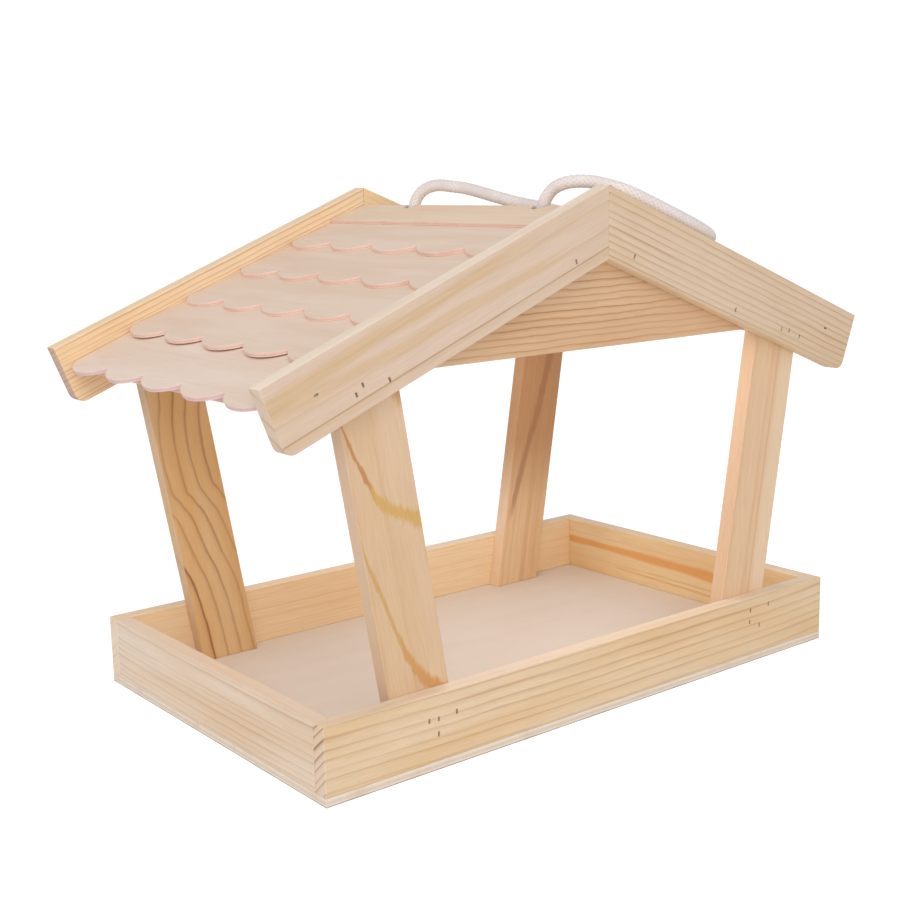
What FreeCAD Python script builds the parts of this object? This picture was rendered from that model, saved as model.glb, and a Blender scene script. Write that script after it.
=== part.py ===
import FreeCAD
import Part
import math
import os
import re
import Sketcher

# Hanging bird feeder: a shallow tray, four posts splayed outwards, and a gable roof with scalloped courses.
# Frame: origin at the middle of the base's underside, X across the gables, Y along the ridge, Z up.
# "Left" is the -X slope and "front" the gable that faces -Y. Lengths are millimetres, angles degrees.

SIZES = (
    ("tray_width", 316, "outside width of the tray, across the gables"),
    ("tray_depth", 194, "outside depth of the tray and of the roof, along the ridge"),
    ("stock_width", 30, "width of the strip that the tray walls and bargeboards are cut from"),
    ("stock_thick", 8, "thickness of that strip, and of the posts and gable panels"),
    ("base_thick", 4, "plywood base under the tray walls"),
    ("post_width", 31, "width of a post across its lean"),
    ("post_foot", 99, "distance of a post's centre line from the middle, at the floor"),
    ("post_lean", 9.6, "outward lean of a post, from upright"),
    ("ridge_height", 242, "top of the bargeboards' mitre above the underside of the base"),
    ("roof_pitch", 21.4, "slope of the roof, from level"),
    ("barge_length", 193.5, "top edge of a bargeboard, from the mitre to its outer end"),
    ("barge_round", 5, "radius of a bargeboard's lower outer corner"),
    ("gable_end", 11.6, "height of a gable panel's ends, under the deck"),
    ("deck_drop", 12, "depth of the deck's top face under the bargeboards' top edge"),
    ("deck_thick", 3, "roof deck panel"),
    ("deck_lip", 1, "reach of the deck past the cusps of the eave course"),
    ("shingle_thick", 2, "plywood of the shingle courses and ridge strips"),
    ("eave_inset", 7.5, "cusps of the eave course, short of the bargeboards' ends"),
    ("course_start", 11, "upper edge of the top course, down the slope from the ridge"),
    ("course_lap", 8, "length of a course under the cusps of the next one up"),
    ("scallop_count", 5, "scallops in a course"),
    ("scallop_depth", 8, "reach of a scallop past its cusps"),
    ("ridge_strip", 23, "width of a plain strip at the ridge"),
    ("fit_gap", 0.2, "gap left at each end of a strip or panel that is dropped into place"),
    ("rope_width", 6, "diameter of the rope"),
    ("rope_play", 1.5, "room around the rope in its holes"),
    ("rope_spread", 0.55, "rope hole's distance from the middle, as a share of the inner half depth"),
    ("rope_offset", 3.5, "middle of the two rope holes, off the roof's middle towards the front gable"),
    ("knot_width", 14, "diameter of a stopper knot"),
    ("knot_tail", 9, "length of rope end under a knot"),
    ("brad_thin", 1.1, "smaller side of a brad's section"),
    ("brad_wide", 2.2, "larger side of a brad's section"),
    ("brad_bite", 0.8, "depth of a brad in the second board, as a share of the strip's thickness"),
    ("brad_sink", 0.4, "depth of a brad's head under the face of the wood"),
)
COURSES = 5

# Brads, placed as the nail gun left them. At a post's foot: shares of the post's width from its centre line,
# outwards, and of the wall's height. At its head: of the post's width again, and of the bargeboard's height
# below the deck.
FOOT_BRADS = {"left": ((0.1, 0.63), (-0.06, 0.62), (-0.38, 0.65), (-0.02, 0.4)),
              "right": ((0.38, 0.8), (-0.07, 0.78), (-0.05, 0.58), (0.21, 0.48))}
HEAD_BRADS = {"left": ((0.34, 0.53), (0.22, 0.67), (-0.2, 0.4)),
              "right": ((-0.22, 0.4), (-0.02, 0.47), (0.26, 0.43))}
# In a gable panel: shares of the post's distance from the middle, and of the height as at a post's head.
GABLE_BRADS = {"left": ((0.2, 0.47),), "right": ((0.16, 0.4), (0.86, 0.3))}
# In the deck's end: distance up the slope from its lower edge.
DECK_BRAD = 15
# In the base: shares of a wall's length from its middle.
LONG_WALL_BRADS = (-0.4, 0.0, 0.4)
SHORT_WALL_BRADS = (-0.3, 0.3)

# The rope between its two holes, as points of its centre line picked by hand: up out of the rear hole, over
# the ridge, down the right slope, round and up along the top edge of the front bargeboard, and down into the
# front hole. Each has its X, its Y from the hole (rise, fall) or as a share of the roof's inner half depth
# (loop), and the height of the rope's underside over the line that runs down the slope from the top of the
# ridge.
ROPE_RISE = (
    (0, 0, -4.5),
    (1.1, -4.5, 4),
    (4.6, -13.1, 9),
)
ROPE_LOOP = (
    (5.8, 0.212, 8.2),
    (7.6, 0.115, 8),
    (9.8, -0.07, 5.1),
    (12.4, -0.245, 2.6),
    (18, -0.395, 2.3),
    (29, -0.505, 2.5),
    (43, -0.57, 2.6),
    (58, -0.605, 2.8),
    (71, -0.655, 3.6),
    (80, -0.755, 6),
    (82.5, -0.89, 9.2),
    (76, -1.005, 10.4),
    (63, -1.043, 10),
    (47, -1.045, 9.8),
    (31, -1.033, 9.9),
    (20, -0.997, 10.7),
    (13.9, -0.922, 11.2),
)
ROPE_FALL = (
    (11, -20.6, 12),
    (4.6, -12.6, 9.4),
    (1.6, -4.7, 4.8),
    (0, 0, -4.5),
)
# Share of the shorter run on either side of a point that the arc at the point takes up.
ARC_SHARE = 0.49

doc = FreeCAD.newDocument("bird_feeder")
sheet = doc.addObject("Spreadsheet::Sheet", "Sizes")
for row, (alias, value, meaning) in enumerate(SIZES, start=1):
    sheet.set(f"A{row}", meaning)
    sheet.set(f"B{row}", str(value))
    sheet.setAlias(f"B{row}", alias)
doc.recompute()

ALIASES = re.compile(r"\b(" + "|".join(alias for alias, _, _ in SIZES) + r")\b")
SIDES = {"left": -1, "right": 1}
ENDS = {"front": -1, "back": 1}
subparts = []


def linked(formula):
    """Give a formula of sheet names in the form that objects outside the sheet use."""
    return ALIASES.sub(r"Sizes.\1", str(formula))


def number(formula):
    """Work out a formula of sheet names as a plain number."""
    return float(sheet.evalExpression(str(formula)))


# Formulas of the shared shape. A roof point is given by its distance down the slope from the mitre and
# its depth under the bargeboards' top edge, square to it.
INNER_DEPTH = "(tray_depth / 2 - stock_thick)"
DECK_UNDER = "(deck_drop + deck_thick)"
POST_HALF = "(post_width / 2 / cos(post_lean))"
EAVE = "(barge_length - eave_inset)"
COURSE_STEP = f"(({EAVE} - course_start - course_lap) / {COURSES})"
LAP_TILT = f"(asin(shingle_thick / {COURSE_STEP}) / 1 deg)"
ROPE_HOLE = "(rope_width + 2 * rope_play)"
ROPE_Y = f"(rope_spread * {INNER_DEPTH})"
BURIED = "(brad_bite * stock_thick)"
BRAD_LENGTH = f"(stock_thick - brad_sink + {BURIED})"
BASE_BURIED = f"({BRAD_LENGTH} + brad_sink - base_thick)"
DECK_END = f"({EAVE} + deck_lip)"


def slope_x(down, depth):
    """X of a roof point on the right slope."""
    return f"(({down}) * cos(roof_pitch) - ({depth}) * sin(roof_pitch))"


def slope_z(down, depth):
    """Z of a roof point."""
    return f"(ridge_height - ({down}) * sin(roof_pitch) - ({depth}) * cos(roof_pitch))"


def line_z(x, depth):
    """Z at distance x from the middle, on the line that lies the given depth under the roof's edge."""
    return f"(ridge_height - ({depth}) / cos(roof_pitch) - ({x}) * tan(roof_pitch))"


def post_x(height, offset="0"):
    """X of a line along a right post, offset outwards from its centre line, at a height."""
    return f"(post_foot + ({offset}) + (({height}) - base_thick) * tan(post_lean))"


def post_x_under_roof(depth, offset="0"):
    """X where such a line meets the line that lies the given depth under the roof's edge."""
    rise = f"(ridge_height - ({depth}) / cos(roof_pitch) - base_thick)"
    return (f"((post_foot + ({offset}) + {rise} * tan(post_lean))"
            " / (1 + tan(roof_pitch) * tan(post_lean)))")


def new_body(label):
    """Start a sub-part."""
    body = doc.addObject("PartDesign::Body", label)
    body.Label = label
    subparts.append(body)
    return body


def new_sketch(body, plane, name, lift="0"):
    """Start a sketch on one of a body's origin planes, or lifted off it."""
    sketch = body.newObject("Sketcher::SketchObject", f"{body.Name}_{name}")
    role = f"{plane}_Plane"
    support = next(part for part in body.Origin.OriginFeatures if part.Role == role)
    sketch.AttachmentSupport = [(support, "")]
    sketch.MapMode = "FlatFace"
    sketch.setExpression("AttachmentOffset.Base.z", linked(lift))
    return sketch


def pin_point(sketch, geometry, vertex, formulas, name):
    """Tie a vertex of a sketch to two formulas."""
    for kind, axis, formula in zip(("DistanceX", "DistanceY"), "xy", formulas):
        index = sketch.addConstraint(Sketcher.Constraint(kind, geometry, vertex, number(formula)))
        sketch.renameConstraint(index, f"{name}_{axis}")
        sketch.setExpression(f"Constraints.{name}_{axis}", linked(formula))


def bulged_arc(start, end, radius):
    """Minor arc from start to end that bulges to the right of that direction."""
    chord = end - start
    middle = (start + end) / 2
    right = FreeCAD.Vector(chord.y, -chord.x, 0).normalize()
    inset = math.sqrt(max(radius ** 2 - chord.Length ** 2 / 4, 0.0))
    crown = middle + right * (radius - inset)
    return Part.Arc(start, crown, end)


def draw_loop(sketch, name, points, arcs=None):
    """Draw a closed loop through points given as formulas; arcs maps an edge's number to its radius."""
    arcs = arcs or {}
    first = sketch.GeometryCount
    corners = [FreeCAD.Vector(number(x), number(y), 0) for x, y in points]
    starts = []
    for edge, start in enumerate(corners):
        end = corners[(edge + 1) % len(corners)]
        if edge in arcs:
            curve = bulged_arc(start, end, number(arcs[edge]))
        else:
            curve = Part.LineSegment(start, end)
        sketch.addGeometry(curve, False)
        drawn = sketch.Geometry[first + edge]
        turned = drawn.StartPoint.distanceToPoint(start) > drawn.EndPoint.distanceToPoint(start)
        starts.append(2 if turned else 1)
    for edge in range(len(corners)):
        following = (edge + 1) % len(corners)
        sketch.addConstraint(Sketcher.Constraint(
            "Coincident", first + edge, 3 - starts[edge], first + following, starts[following]))
    for edge, formulas in enumerate(points):
        pin_point(sketch, first + edge, starts[edge], formulas, f"{name}{edge}")
    for edge, radius in arcs.items():
        index = sketch.addConstraint(Sketcher.Constraint("Radius", first + edge, number(radius)))
        sketch.renameConstraint(index, f"round{edge}")
        sketch.setExpression(f"Constraints.round{edge}", linked(radius))


def outline(body, plane, name, points, arcs=None):
    """Sketch of one closed loop."""
    sketch = new_sketch(body, plane, name)
    draw_loop(sketch, "corner", points, arcs)
    return sketch


def draw_brads(sketch, spots):
    """Draw the sections of brads, each given as its middle and the lean of its longer side."""
    for index, (x, y, lean) in enumerate(spots):
        corners = []
        for across, up in ((-1, -1), (1, -1), (1, 1), (-1, 1)):
            corner_x = f"{x} + {across} * brad_thin / 2 * cos({lean}) + {up} * brad_wide / 2 * sin({lean})"
            corner_y = f"{y} - {across} * brad_thin / 2 * sin({lean}) + {up} * brad_wide / 2 * cos({lean})"
            corners.append((corner_x, corner_y))
        draw_loop(sketch, f"brad{index}_", corners)


def brad_holes(body, plane, name, spots, depth=None, reverse=False, lift="0"):
    """Cut the holes of brads into a body, to a depth, or right through both ways."""
    sketch = new_sketch(body, plane, name, lift)
    draw_brads(sketch, spots)
    return pocket(body, sketch, depth, reverse)


def circles(body, plane, name, centres, diameter):
    """Sketch of equal circles with their centres given as formulas."""
    sketch = new_sketch(body, plane, name)
    for index, (x, y) in enumerate(centres):
        centre = FreeCAD.Vector(number(x), number(y), 0)
        sketch.addGeometry(Part.Circle(centre, FreeCAD.Vector(0, 0, 1), number(diameter) / 2), False)
        pin_point(sketch, index, 3, (x, y), f"centre{index}")
        if index:
            sketch.addConstraint(Sketcher.Constraint("Equal", 0, index))
        else:
            size = sketch.addConstraint(Sketcher.Constraint("Diameter", 0, number(diameter)))
            sketch.renameConstraint(size, "width")
            sketch.setExpression("Constraints.width", linked(diameter))
    return sketch


def pad(body, sketch, length, symmetric=False, reverse=False):
    """Raise a sketch into a solid."""
    feature = body.newObject("PartDesign::Pad", f"{sketch.Name}_pad")
    feature.Profile = sketch
    feature.SideType = "Symmetric" if symmetric else "One side"
    feature.Reversed = reverse
    feature.setExpression("Length", linked(length))
    doc.recompute()
    return feature


def pocket(body, sketch, depth=None, reverse=False):
    """Cut a sketch into a body, to a depth, or right through both ways."""
    before = body.Shape.Volume
    feature = body.newObject("PartDesign::Pocket", f"{sketch.Name}_cut")
    feature.Profile = sketch
    feature.Reversed = reverse
    if depth is None:
        feature.SideType = "Symmetric"
        feature.Type = "ThroughAll"
    else:
        feature.setExpression("Length", linked(depth))
    doc.recompute()
    if body.Shape.Volume >= before:
        raise RuntimeError(f"{feature.Name} cuts nothing")
    return feature


def place(body, x="0", y="0", z="0", turn=None):
    """Tie a body's placement to formulas, with an optional turn about Y."""
    if turn is not None:
        body.Placement = FreeCAD.Placement(
            FreeCAD.Vector(), FreeCAD.Rotation(FreeCAD.Vector(0, 1, 0), number(turn)))
        body.setExpression("Placement.Rotation.Angle", linked(turn))
    for axis, formula in zip("xyz", (x, y, z)):
        body.setExpression(f"Placement.Base.{axis}", linked(formula))


def brads(label, spots, turn, reverse, y="0", z="0"):
    """Group of brads, driven from the plane of their heads: XY as it is, or XZ after a turn about X."""
    sketch = doc.addObject("Sketcher::SketchObject", f"{label}_heads")
    sketch.Placement = FreeCAD.Placement(
        FreeCAD.Vector(), FreeCAD.Rotation(FreeCAD.Vector(1, 0, 0), turn))
    sketch.setExpression("Placement.Base.y", linked(y))
    sketch.setExpression("Placement.Base.z", linked(z))
    draw_brads(sketch, spots)
    group = doc.addObject("Part::Extrusion", label)
    group.Label = label
    group.Base = sketch
    group.DirMode = "Normal"
    group.Solid = True
    group.Reversed = reverse
    group.setExpression("LengthFwd", linked(BRAD_LENGTH))
    subparts.append(group)


def foot_brad(side, share, height):
    """X, Z and lean of a brad at a post's foot."""
    z = f"(base_thick + {height} * stock_width)"
    return f"{SIDES[side]} * {post_x(z, f'{share} * post_width')}", z, "0"


def barge_depth(height):
    """Depth under the roof's edge of a share of the bargeboard's height below the deck."""
    return f"(stock_width - {height} * (stock_width - {DECK_UNDER}))"


def gable_brad(side, share, height):
    """X, Z and lean of a brad in a gable panel."""
    x = f"({share} * post_foot)"
    return f"{SIDES[side]} * {x}", line_z(x, barge_depth(height)), f"{SIDES[side]} * roof_pitch"


def head_brad(side, share, height):
    """X, Z and lean of a brad at a post's head."""
    depth = barge_depth(height)
    x = post_x_under_roof(depth, f"{share} * post_width")
    return f"{SIDES[side]} * {x}", line_z(x, depth), f"{SIDES[side]} * roof_pitch"


def deck_brad(side):
    """X, Z and lean of the brad in the end of a deck, its longer side along the deck."""
    down = f"({DECK_END} - {DECK_BRAD})"
    depth = f"({DECK_UNDER} - deck_thick / 2)"
    lean = f"{SIDES[side]} * (90 + roof_pitch)"
    return f"{SIDES[side]} * {slope_x(down, depth)}", slope_z(down, depth), lean


# Tray: a plywood base and four walls. The front and back walls run the whole width and the side walls
# butt between them.
base = new_body("base_panel")
base_sketch = outline(base, "XY", "sheet", (
    ("-tray_width / 2", "-tray_depth / 2"), ("tray_width / 2", "-tray_depth / 2"),
    ("tray_width / 2", "tray_depth / 2"), ("-tray_width / 2", "tray_depth / 2")))
pad(base, base_sketch, "base_thick")

WALL_LINE = "(tray_depth / 2 - stock_thick / 2)"
SIDE_LINE = "(tray_width / 2 - stock_thick / 2)"
SIDE_LENGTH = "(tray_depth - 2 * stock_thick)"
base_spots = [(f"{share} * tray_width", f"{end} * {WALL_LINE}", "90")
              for end in ENDS.values() for share in LONG_WALL_BRADS]
base_spots += [(f"{side} * {SIDE_LINE}", f"{share} * {SIDE_LENGTH}", "0")
               for side in SIDES.values() for share in SHORT_WALL_BRADS]
brad_holes(base, "XY", "brad_holes", base_spots)
brads("base_brads", base_spots, 0, False, z="brad_sink")

for end, toward in ENDS.items():
    wall = new_body(f"tray_{end}_wall")
    profile = outline(wall, "XZ", "board", (
        ("-tray_width / 2", "0"), ("tray_width / 2", "0"),
        ("tray_width / 2", "stock_width"), ("-tray_width / 2", "stock_width")))
    pad(wall, profile, "stock_thick", symmetric=True)
    spots = [(f"{share} * tray_width", "0", "90") for share in LONG_WALL_BRADS]
    brad_holes(wall, "XY", "base_holes", spots, BASE_BURIED, reverse=True)
    spots = [foot_brad(side, *spot) for side in SIDES for spot in FOOT_BRADS[side]]
    brad_holes(wall, "XZ", "post_holes", [(x, f"{z} - base_thick", lean) for x, z, lean in spots])
    place(wall, y=f"{toward} * {WALL_LINE}", z="base_thick")

for side, outward in SIDES.items():
    wall = new_body(f"tray_{side}_wall")
    profile = outline(wall, "XZ", "board", (
        ("-stock_thick / 2", "0"), ("stock_thick / 2", "0"),
        ("stock_thick / 2", "stock_width"), ("-stock_thick / 2", "stock_width")))
    pad(wall, profile, SIDE_LENGTH, symmetric=True)
    spots = [("0", f"{share} * {SIDE_LENGTH}", "0") for share in SHORT_WALL_BRADS]
    brad_holes(wall, "XY", "base_holes", spots, BASE_BURIED, reverse=True)
    place(wall, x=f"{outward} * {SIDE_LINE}", z="base_thick")

# Posts: cut level at the floor and along the deck at the head, nailed through the wall and bargeboard.
POST_LINE = f"({INNER_DEPTH} - stock_thick / 2)"
for end, toward in ENDS.items():
    for side, outward in SIDES.items():
        post = new_body(f"post_{end}_{side}")
        foot_out = f"post_foot + {POST_HALF}"
        foot_in = f"post_foot - {POST_HALF}"
        head_out = post_x_under_roof(DECK_UNDER, POST_HALF)
        head_in = post_x_under_roof(DECK_UNDER, f"-{POST_HALF}")
        profile = outline(post, "XZ", "board", (
            (f"{outward} * ({foot_in})", "base_thick"), (f"{outward} * ({foot_out})", "base_thick"),
            (f"{outward} * {head_out}", line_z(head_out, DECK_UNDER)),
            (f"{outward} * {head_in}", line_z(head_in, DECK_UNDER))))
        pad(post, profile, "stock_thick", reverse=toward < 0)
        spots = [foot_brad(side, *spot) for spot in FOOT_BRADS[side]]
        spots += [head_brad(side, *spot) for spot in HEAD_BRADS[side]]
        brad_holes(post, "XZ", "brad_holes", spots, BURIED, reverse=toward > 0)
        place(post, y=f"{toward} * {INNER_DEPTH}")

# Gable panels: fill the gable between the posts, under the deck.
for end, toward in ENDS.items():
    panel = new_body(f"gable_panel_{end}")
    high = f"({post_x_under_roof(DECK_UNDER, f'-{POST_HALF}')} - fit_gap)"
    high_z = line_z(high, DECK_UNDER)
    low_z = f"({high_z} - gable_end)"
    low = f"({post_x(low_z, f'-{POST_HALF}')} - fit_gap)"
    profile = outline(panel, "XZ", "board", (
        (f"-{low}", low_z), (low, low_z),
        (high, high_z), ("0", line_z("0", DECK_UNDER)), (f"-{high}", high_z)))
    pad(panel, profile, "stock_thick", reverse=toward < 0)
    spots = [gable_brad(side, *spot) for side in SIDES for spot in GABLE_BRADS[side]]
    brad_holes(panel, "XZ", "brad_holes", spots, BURIED, reverse=toward > 0)
    place(panel, y=f"{toward} * {INNER_DEPTH}")

# Bargeboards: mitred plumb at the ridge, square at the outer end, with the lower outer corner rounded.
for end, toward in ENDS.items():
    for side, outward in SIDES.items():
        board = new_body(f"bargeboard_{end}_{side}")
        corners = [("0", line_z("0", "0")), ("0", line_z("0", "stock_width"))]
        rounded = (("barge_length - barge_round", "stock_width"),
                   ("barge_length", "stock_width - barge_round"), ("barge_length", "0"))
        corners += [(f"{outward} * {slope_x(*spot)}", slope_z(*spot)) for spot in rounded]
        if outward < 0:
            corners.reverse()
        profile = outline(board, "XZ", "board", corners, arcs={(2 if outward > 0 else 1): "barge_round"})
        pad(board, profile, "stock_thick", reverse=toward > 0)
        spots = [head_brad(side, *spot) for spot in HEAD_BRADS[side]]
        spots += [gable_brad(side, *spot) for spot in GABLE_BRADS[side]]
        spots.append(deck_brad(side))
        brad_holes(board, "XZ", "brad_holes", spots)
        place(board, y=f"{toward} * {INNER_DEPTH}")

# Brads through the walls and bargeboards, their heads just under the outer faces.
for end, toward in ENDS.items():
    head = f"{toward} * (tray_depth / 2 - brad_sink)"
    groups = {"post_foot": [foot_brad(side, *spot) for side in SIDES for spot in FOOT_BRADS[side]],
              "post_head": [head_brad(side, *spot) for side in SIDES for spot in HEAD_BRADS[side]],
              "gable": [gable_brad(side, *spot) for side in SIDES for spot in GABLE_BRADS[side]],
              "deck": [deck_brad(side) for side in SIDES]}
    for name, spots in groups.items():
        brads(f"{name}_brads_{end}", spots, 90, toward < 0, y=head)

# Roof decks: two panels that meet plumb at the ridge, between the bargeboards.
ROPE_ENDS = {end: f"({toward} * {ROPE_Y} - rope_offset)" for end, toward in ENDS.items()}
ROPE_HOLES = [("0", y) for y in ROPE_ENDS.values()]
TILTED = f"(roof_pitch - {LAP_TILT})"


def course_top(course):
    """Distance down the slope of a course's upper edge; course 0 is at the eave."""
    return f"(course_start + {COURSES - 1 - course} * {COURSE_STEP})"


def ridge_strip_point(side, along, above):
    """X and Z of a point of a ridge strip, along its underside from the ridge and square above it."""
    x = f"(({along}) * cos({TILTED}) + ({above}) * sin({TILTED}))"
    z = f"({RIDGE_UNDER} - ({along}) * sin({TILTED}) + ({above}) * cos({TILTED}))"
    return f"{SIDES[side]} * {x}", z


# Height at the ridge of the line that runs along the top face of the top course.
TOP_EDGE_X = slope_x(course_top(COURSES - 1), "deck_drop")
TOP_EDGE_Z = slope_z(course_top(COURSES - 1), "deck_drop")
RIDGE_UNDER = f"({TOP_EDGE_Z} + {TOP_EDGE_X} * tan({TILTED}) + shingle_thick / cos({TILTED}))"
RIDGE_TOP = f"({RIDGE_UNDER} + shingle_thick / cos({TILTED}))"

for side, outward in SIDES.items():
    deck = new_body(f"roof_deck_{side}")
    profile = outline(deck, "XZ", "panel", (
        ("0", line_z("0", "deck_drop")), ("0", line_z("0", DECK_UNDER)),
        (f"{outward} * {slope_x(DECK_END, DECK_UNDER)}", slope_z(DECK_END, DECK_UNDER)),
        (f"{outward} * {slope_x(DECK_END, 'deck_drop')}", slope_z(DECK_END, "deck_drop"))))
    pad(deck, profile, SIDE_LENGTH, symmetric=True)
    pocket(deck, circles(deck, "XY", "rope_holes", ROPE_HOLES, ROPE_HOLE))
    for end, toward in ENDS.items():
        bottom = f"{-toward} * ({INNER_DEPTH} - ({BURIED}))"
        brad_holes(deck, "XZ", f"{end}_brad_hole", [deck_brad(side)], BURIED, toward < 0, bottom)

    # Shingle courses: a strip with a row of scallops along its lower edge. The eave course lies on the
    # deck; each other course starts on the deck and leans on the course below.
    for course in range(COURSES):
        strip = new_body(f"shingle_{side}_{course + 1}")
        half = f"({INNER_DEPTH} - fit_gap)"
        reach = f"{outward} * ({COURSE_STEP} + course_lap)"
        profile = outline(strip, "XY", "strip", (
            ("0", f"-{half}"), (reach, f"-{half}"), (reach, half), ("0", half)))
        pad(strip, profile, "shingle_thick")
        step = f"(2 * {half} / scallop_count)"
        near, far = (f"-{half}", f"-{half} + {step}")
        curve = f"(({step} / 2) ^ 2 + scallop_depth ^ 2) / (2 * scallop_depth)"
        ends = ((reach, near), (reach, far)) if outward > 0 else ((reach, far), (reach, near))
        scallop = pad(strip, outline(strip, "XY", "scallop", ends, arcs={0: curve}), "shingle_thick")
        row_of = strip.newObject("PartDesign::LinearPattern", f"{strip.Name}_row")
        row_of.Originals = [scallop]
        along = next(part for part in strip.Origin.OriginFeatures if part.Role == "Y_Axis")
        row_of.Direction = (along, [""])
        row_of.setExpression("Length", linked(f"{step} * (scallop_count - 1)"))
        row_of.setExpression("Occurrences", linked("scallop_count"))
        strip.Tip = row_of
        doc.recompute()
        turn = f"{outward} * roof_pitch" if course == 0 else f"{outward} * {TILTED}"
        top = course_top(course)
        place(strip, x=f"{outward} * {slope_x(top, 'deck_drop')}", z=slope_z(top, "deck_drop"), turn=turn)

    cap = new_body(f"ridge_strip_{side}")
    corners = [("0", RIDGE_TOP), ("0", RIDGE_UNDER),
               ridge_strip_point(side, "ridge_strip", "0"),
               ridge_strip_point(side, "ridge_strip", "shingle_thick")]
    pad(cap, outline(cap, "XZ", "strip", corners), f"2 * ({INNER_DEPTH} - fit_gap)", symmetric=True)
    pocket(cap, circles(cap, "XY", "rope_holes", ROPE_HOLES, ROPE_HOLE))

# Stopper knots: a drum of wound rope drawn up against the decks, with the cut end of the rope under it.
KNOT_FLAT = "sqrt((knot_width / 2) ^ 2 - (rope_width / 2) ^ 2)"
KNOT_MIDDLE = line_z("0", f"({DECK_UNDER} + knot_width / 2)")
KNOT_SHOULDER = "(0.18 * knot_width)"
for end, rope_end in ROPE_ENDS.items():
    knot = new_body(f"rope_knot_{end}")
    profile = outline(knot, "XZ", "half", (
        ("0", f"-{KNOT_FLAT} - knot_tail"), ("rope_width / 2", f"-{KNOT_FLAT} - knot_tail"),
        ("rope_width / 2", f"-{KNOT_FLAT}"), ("knot_width / 2", f"-{KNOT_SHOULDER}"),
        ("knot_width / 2", KNOT_SHOULDER), ("rope_width / 2", KNOT_FLAT), ("0", KNOT_FLAT)))
    drum = knot.newObject("PartDesign::Revolution", f"{knot.Name}_drum")
    drum.Profile = profile
    drum.ReferenceAxis = (profile, ["V_Axis"])
    drum.Angle = 360
    place(knot, y=rope_end, z=KNOT_MIDDLE)


def rope_centre_line(points):
    """Wire of straight runs joined by tangent arcs, each as large as its two runs allow."""
    edges = []
    radii = []
    start = points[0]
    for before, corner, after in zip(points, points[1:], points[2:]):
        into = (corner - before).normalize()
        onward = (after - corner).normalize()
        half_turn = into.getAngle(onward) / 2
        setback = ARC_SHARE * min((corner - before).Length, (after - corner).Length)
        radius = setback / math.tan(half_turn)
        inward = (onward - into).normalize()
        crown = corner + inward * radius * (1 / math.cos(half_turn) - 1)
        arc_start = corner - into * setback
        arc_end = corner + onward * setback
        edges.append(Part.LineSegment(start, arc_start).toShape())
        edges.append(Part.Arc(arc_start, crown, arc_end).toShape())
        radii.append(radius)
        start = arc_end
    edges.append(Part.LineSegment(start, points[-1]).toShape())
    print("rope arc radii:", ", ".join(f"{radius:.1f}" for radius in radii))
    return Part.Wire(edges)


# Rope: one loop from the top of one knot, up through the ridge, and down to the other knot.
rope_radius = number("rope_width / 2")
front_y, rear_y = number(ROPE_ENDS["front"]), number(ROPE_ENDS["back"])
inner_depth = number(INNER_DEPTH)
knot_top = number(f"{KNOT_MIDDLE} + {KNOT_FLAT}")
route = [(x, rear_y + y, lift) for x, y, lift in ROPE_RISE]
route += [(x, y * inner_depth, lift) for x, y, lift in ROPE_LOOP]
route += [(x, front_y + y, lift) for x, y, lift in ROPE_FALL]
rope_points = [FreeCAD.Vector(x, y, number(f"{RIDGE_TOP} - {x} * tan(roof_pitch)") + lift + rope_radius)
               for x, y, lift in route]
rope_points.insert(0, FreeCAD.Vector(0, rear_y, knot_top))
rope_points.append(FreeCAD.Vector(0, front_y, knot_top))
centre_line = rope_centre_line(rope_points)
section = Part.Wire([Part.Circle(rope_points[0], FreeCAD.Vector(0, 0, 1), rope_radius).toShape()])
rope = doc.addObject("Part::Feature", "rope_loop")
rope.Label = "rope_loop"
rope.Shape = centre_line.makePipeShell([section], True, True)
subparts.append(rope)
swept = math.pi * rope_radius ** 2 * centre_line.Length
print(f"rope length {centre_line.Length:.1f}")
print(f"rope volume {rope.Shape.Volume:.1f}, section times length {swept:.1f}")

doc.recompute()
for item in doc.Objects:
    if "Invalid" in item.State or "Error" in item.State:
        raise RuntimeError(f"{item.Label} failed: {item.State}")
for part in subparts:
    if part.Shape.isNull() or not part.Shape.isValid():
        raise RuntimeError(f"{part.Label} has no valid shape")

os.makedirs("parts", exist_ok=True)
for part in subparts:
    part.Shape.exportStep(f"parts/{part.Label}.step")
print(f"{len(subparts)} sub-parts")
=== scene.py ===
import logging
import math
from abc import ABC, abstractmethod
from dataclasses import dataclass, field, replace
from enum import Enum
from functools import cached_property, partial, reduce
from typing import Any, Sequence, Union

import bmesh
import bpy
from mathutils import Matrix, Vector


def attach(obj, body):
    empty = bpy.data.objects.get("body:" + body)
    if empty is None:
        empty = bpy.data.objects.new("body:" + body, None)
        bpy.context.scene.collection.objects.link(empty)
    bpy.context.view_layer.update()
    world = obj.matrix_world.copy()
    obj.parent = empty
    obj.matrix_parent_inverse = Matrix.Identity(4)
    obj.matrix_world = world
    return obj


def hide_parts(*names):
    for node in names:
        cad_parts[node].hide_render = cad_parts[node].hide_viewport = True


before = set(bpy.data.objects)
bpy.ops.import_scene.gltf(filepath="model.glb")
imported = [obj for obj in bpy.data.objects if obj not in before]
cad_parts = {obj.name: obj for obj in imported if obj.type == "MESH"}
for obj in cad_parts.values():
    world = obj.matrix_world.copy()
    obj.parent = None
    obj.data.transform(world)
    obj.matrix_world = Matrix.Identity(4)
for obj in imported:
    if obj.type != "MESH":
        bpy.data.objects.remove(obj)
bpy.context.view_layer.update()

LOG = logging.getLogger("bird_feeder")
MM = 0.001
BODY = "root"
EASE_STEPS = 2
JOIN = 1e-6
RIGHTWARD = (1.0, 0.0, 0.0)
BACKWARD = (0.0, 1.0, 0.0)
UPWARD = (0.0, 0.0, 1.0)

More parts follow.
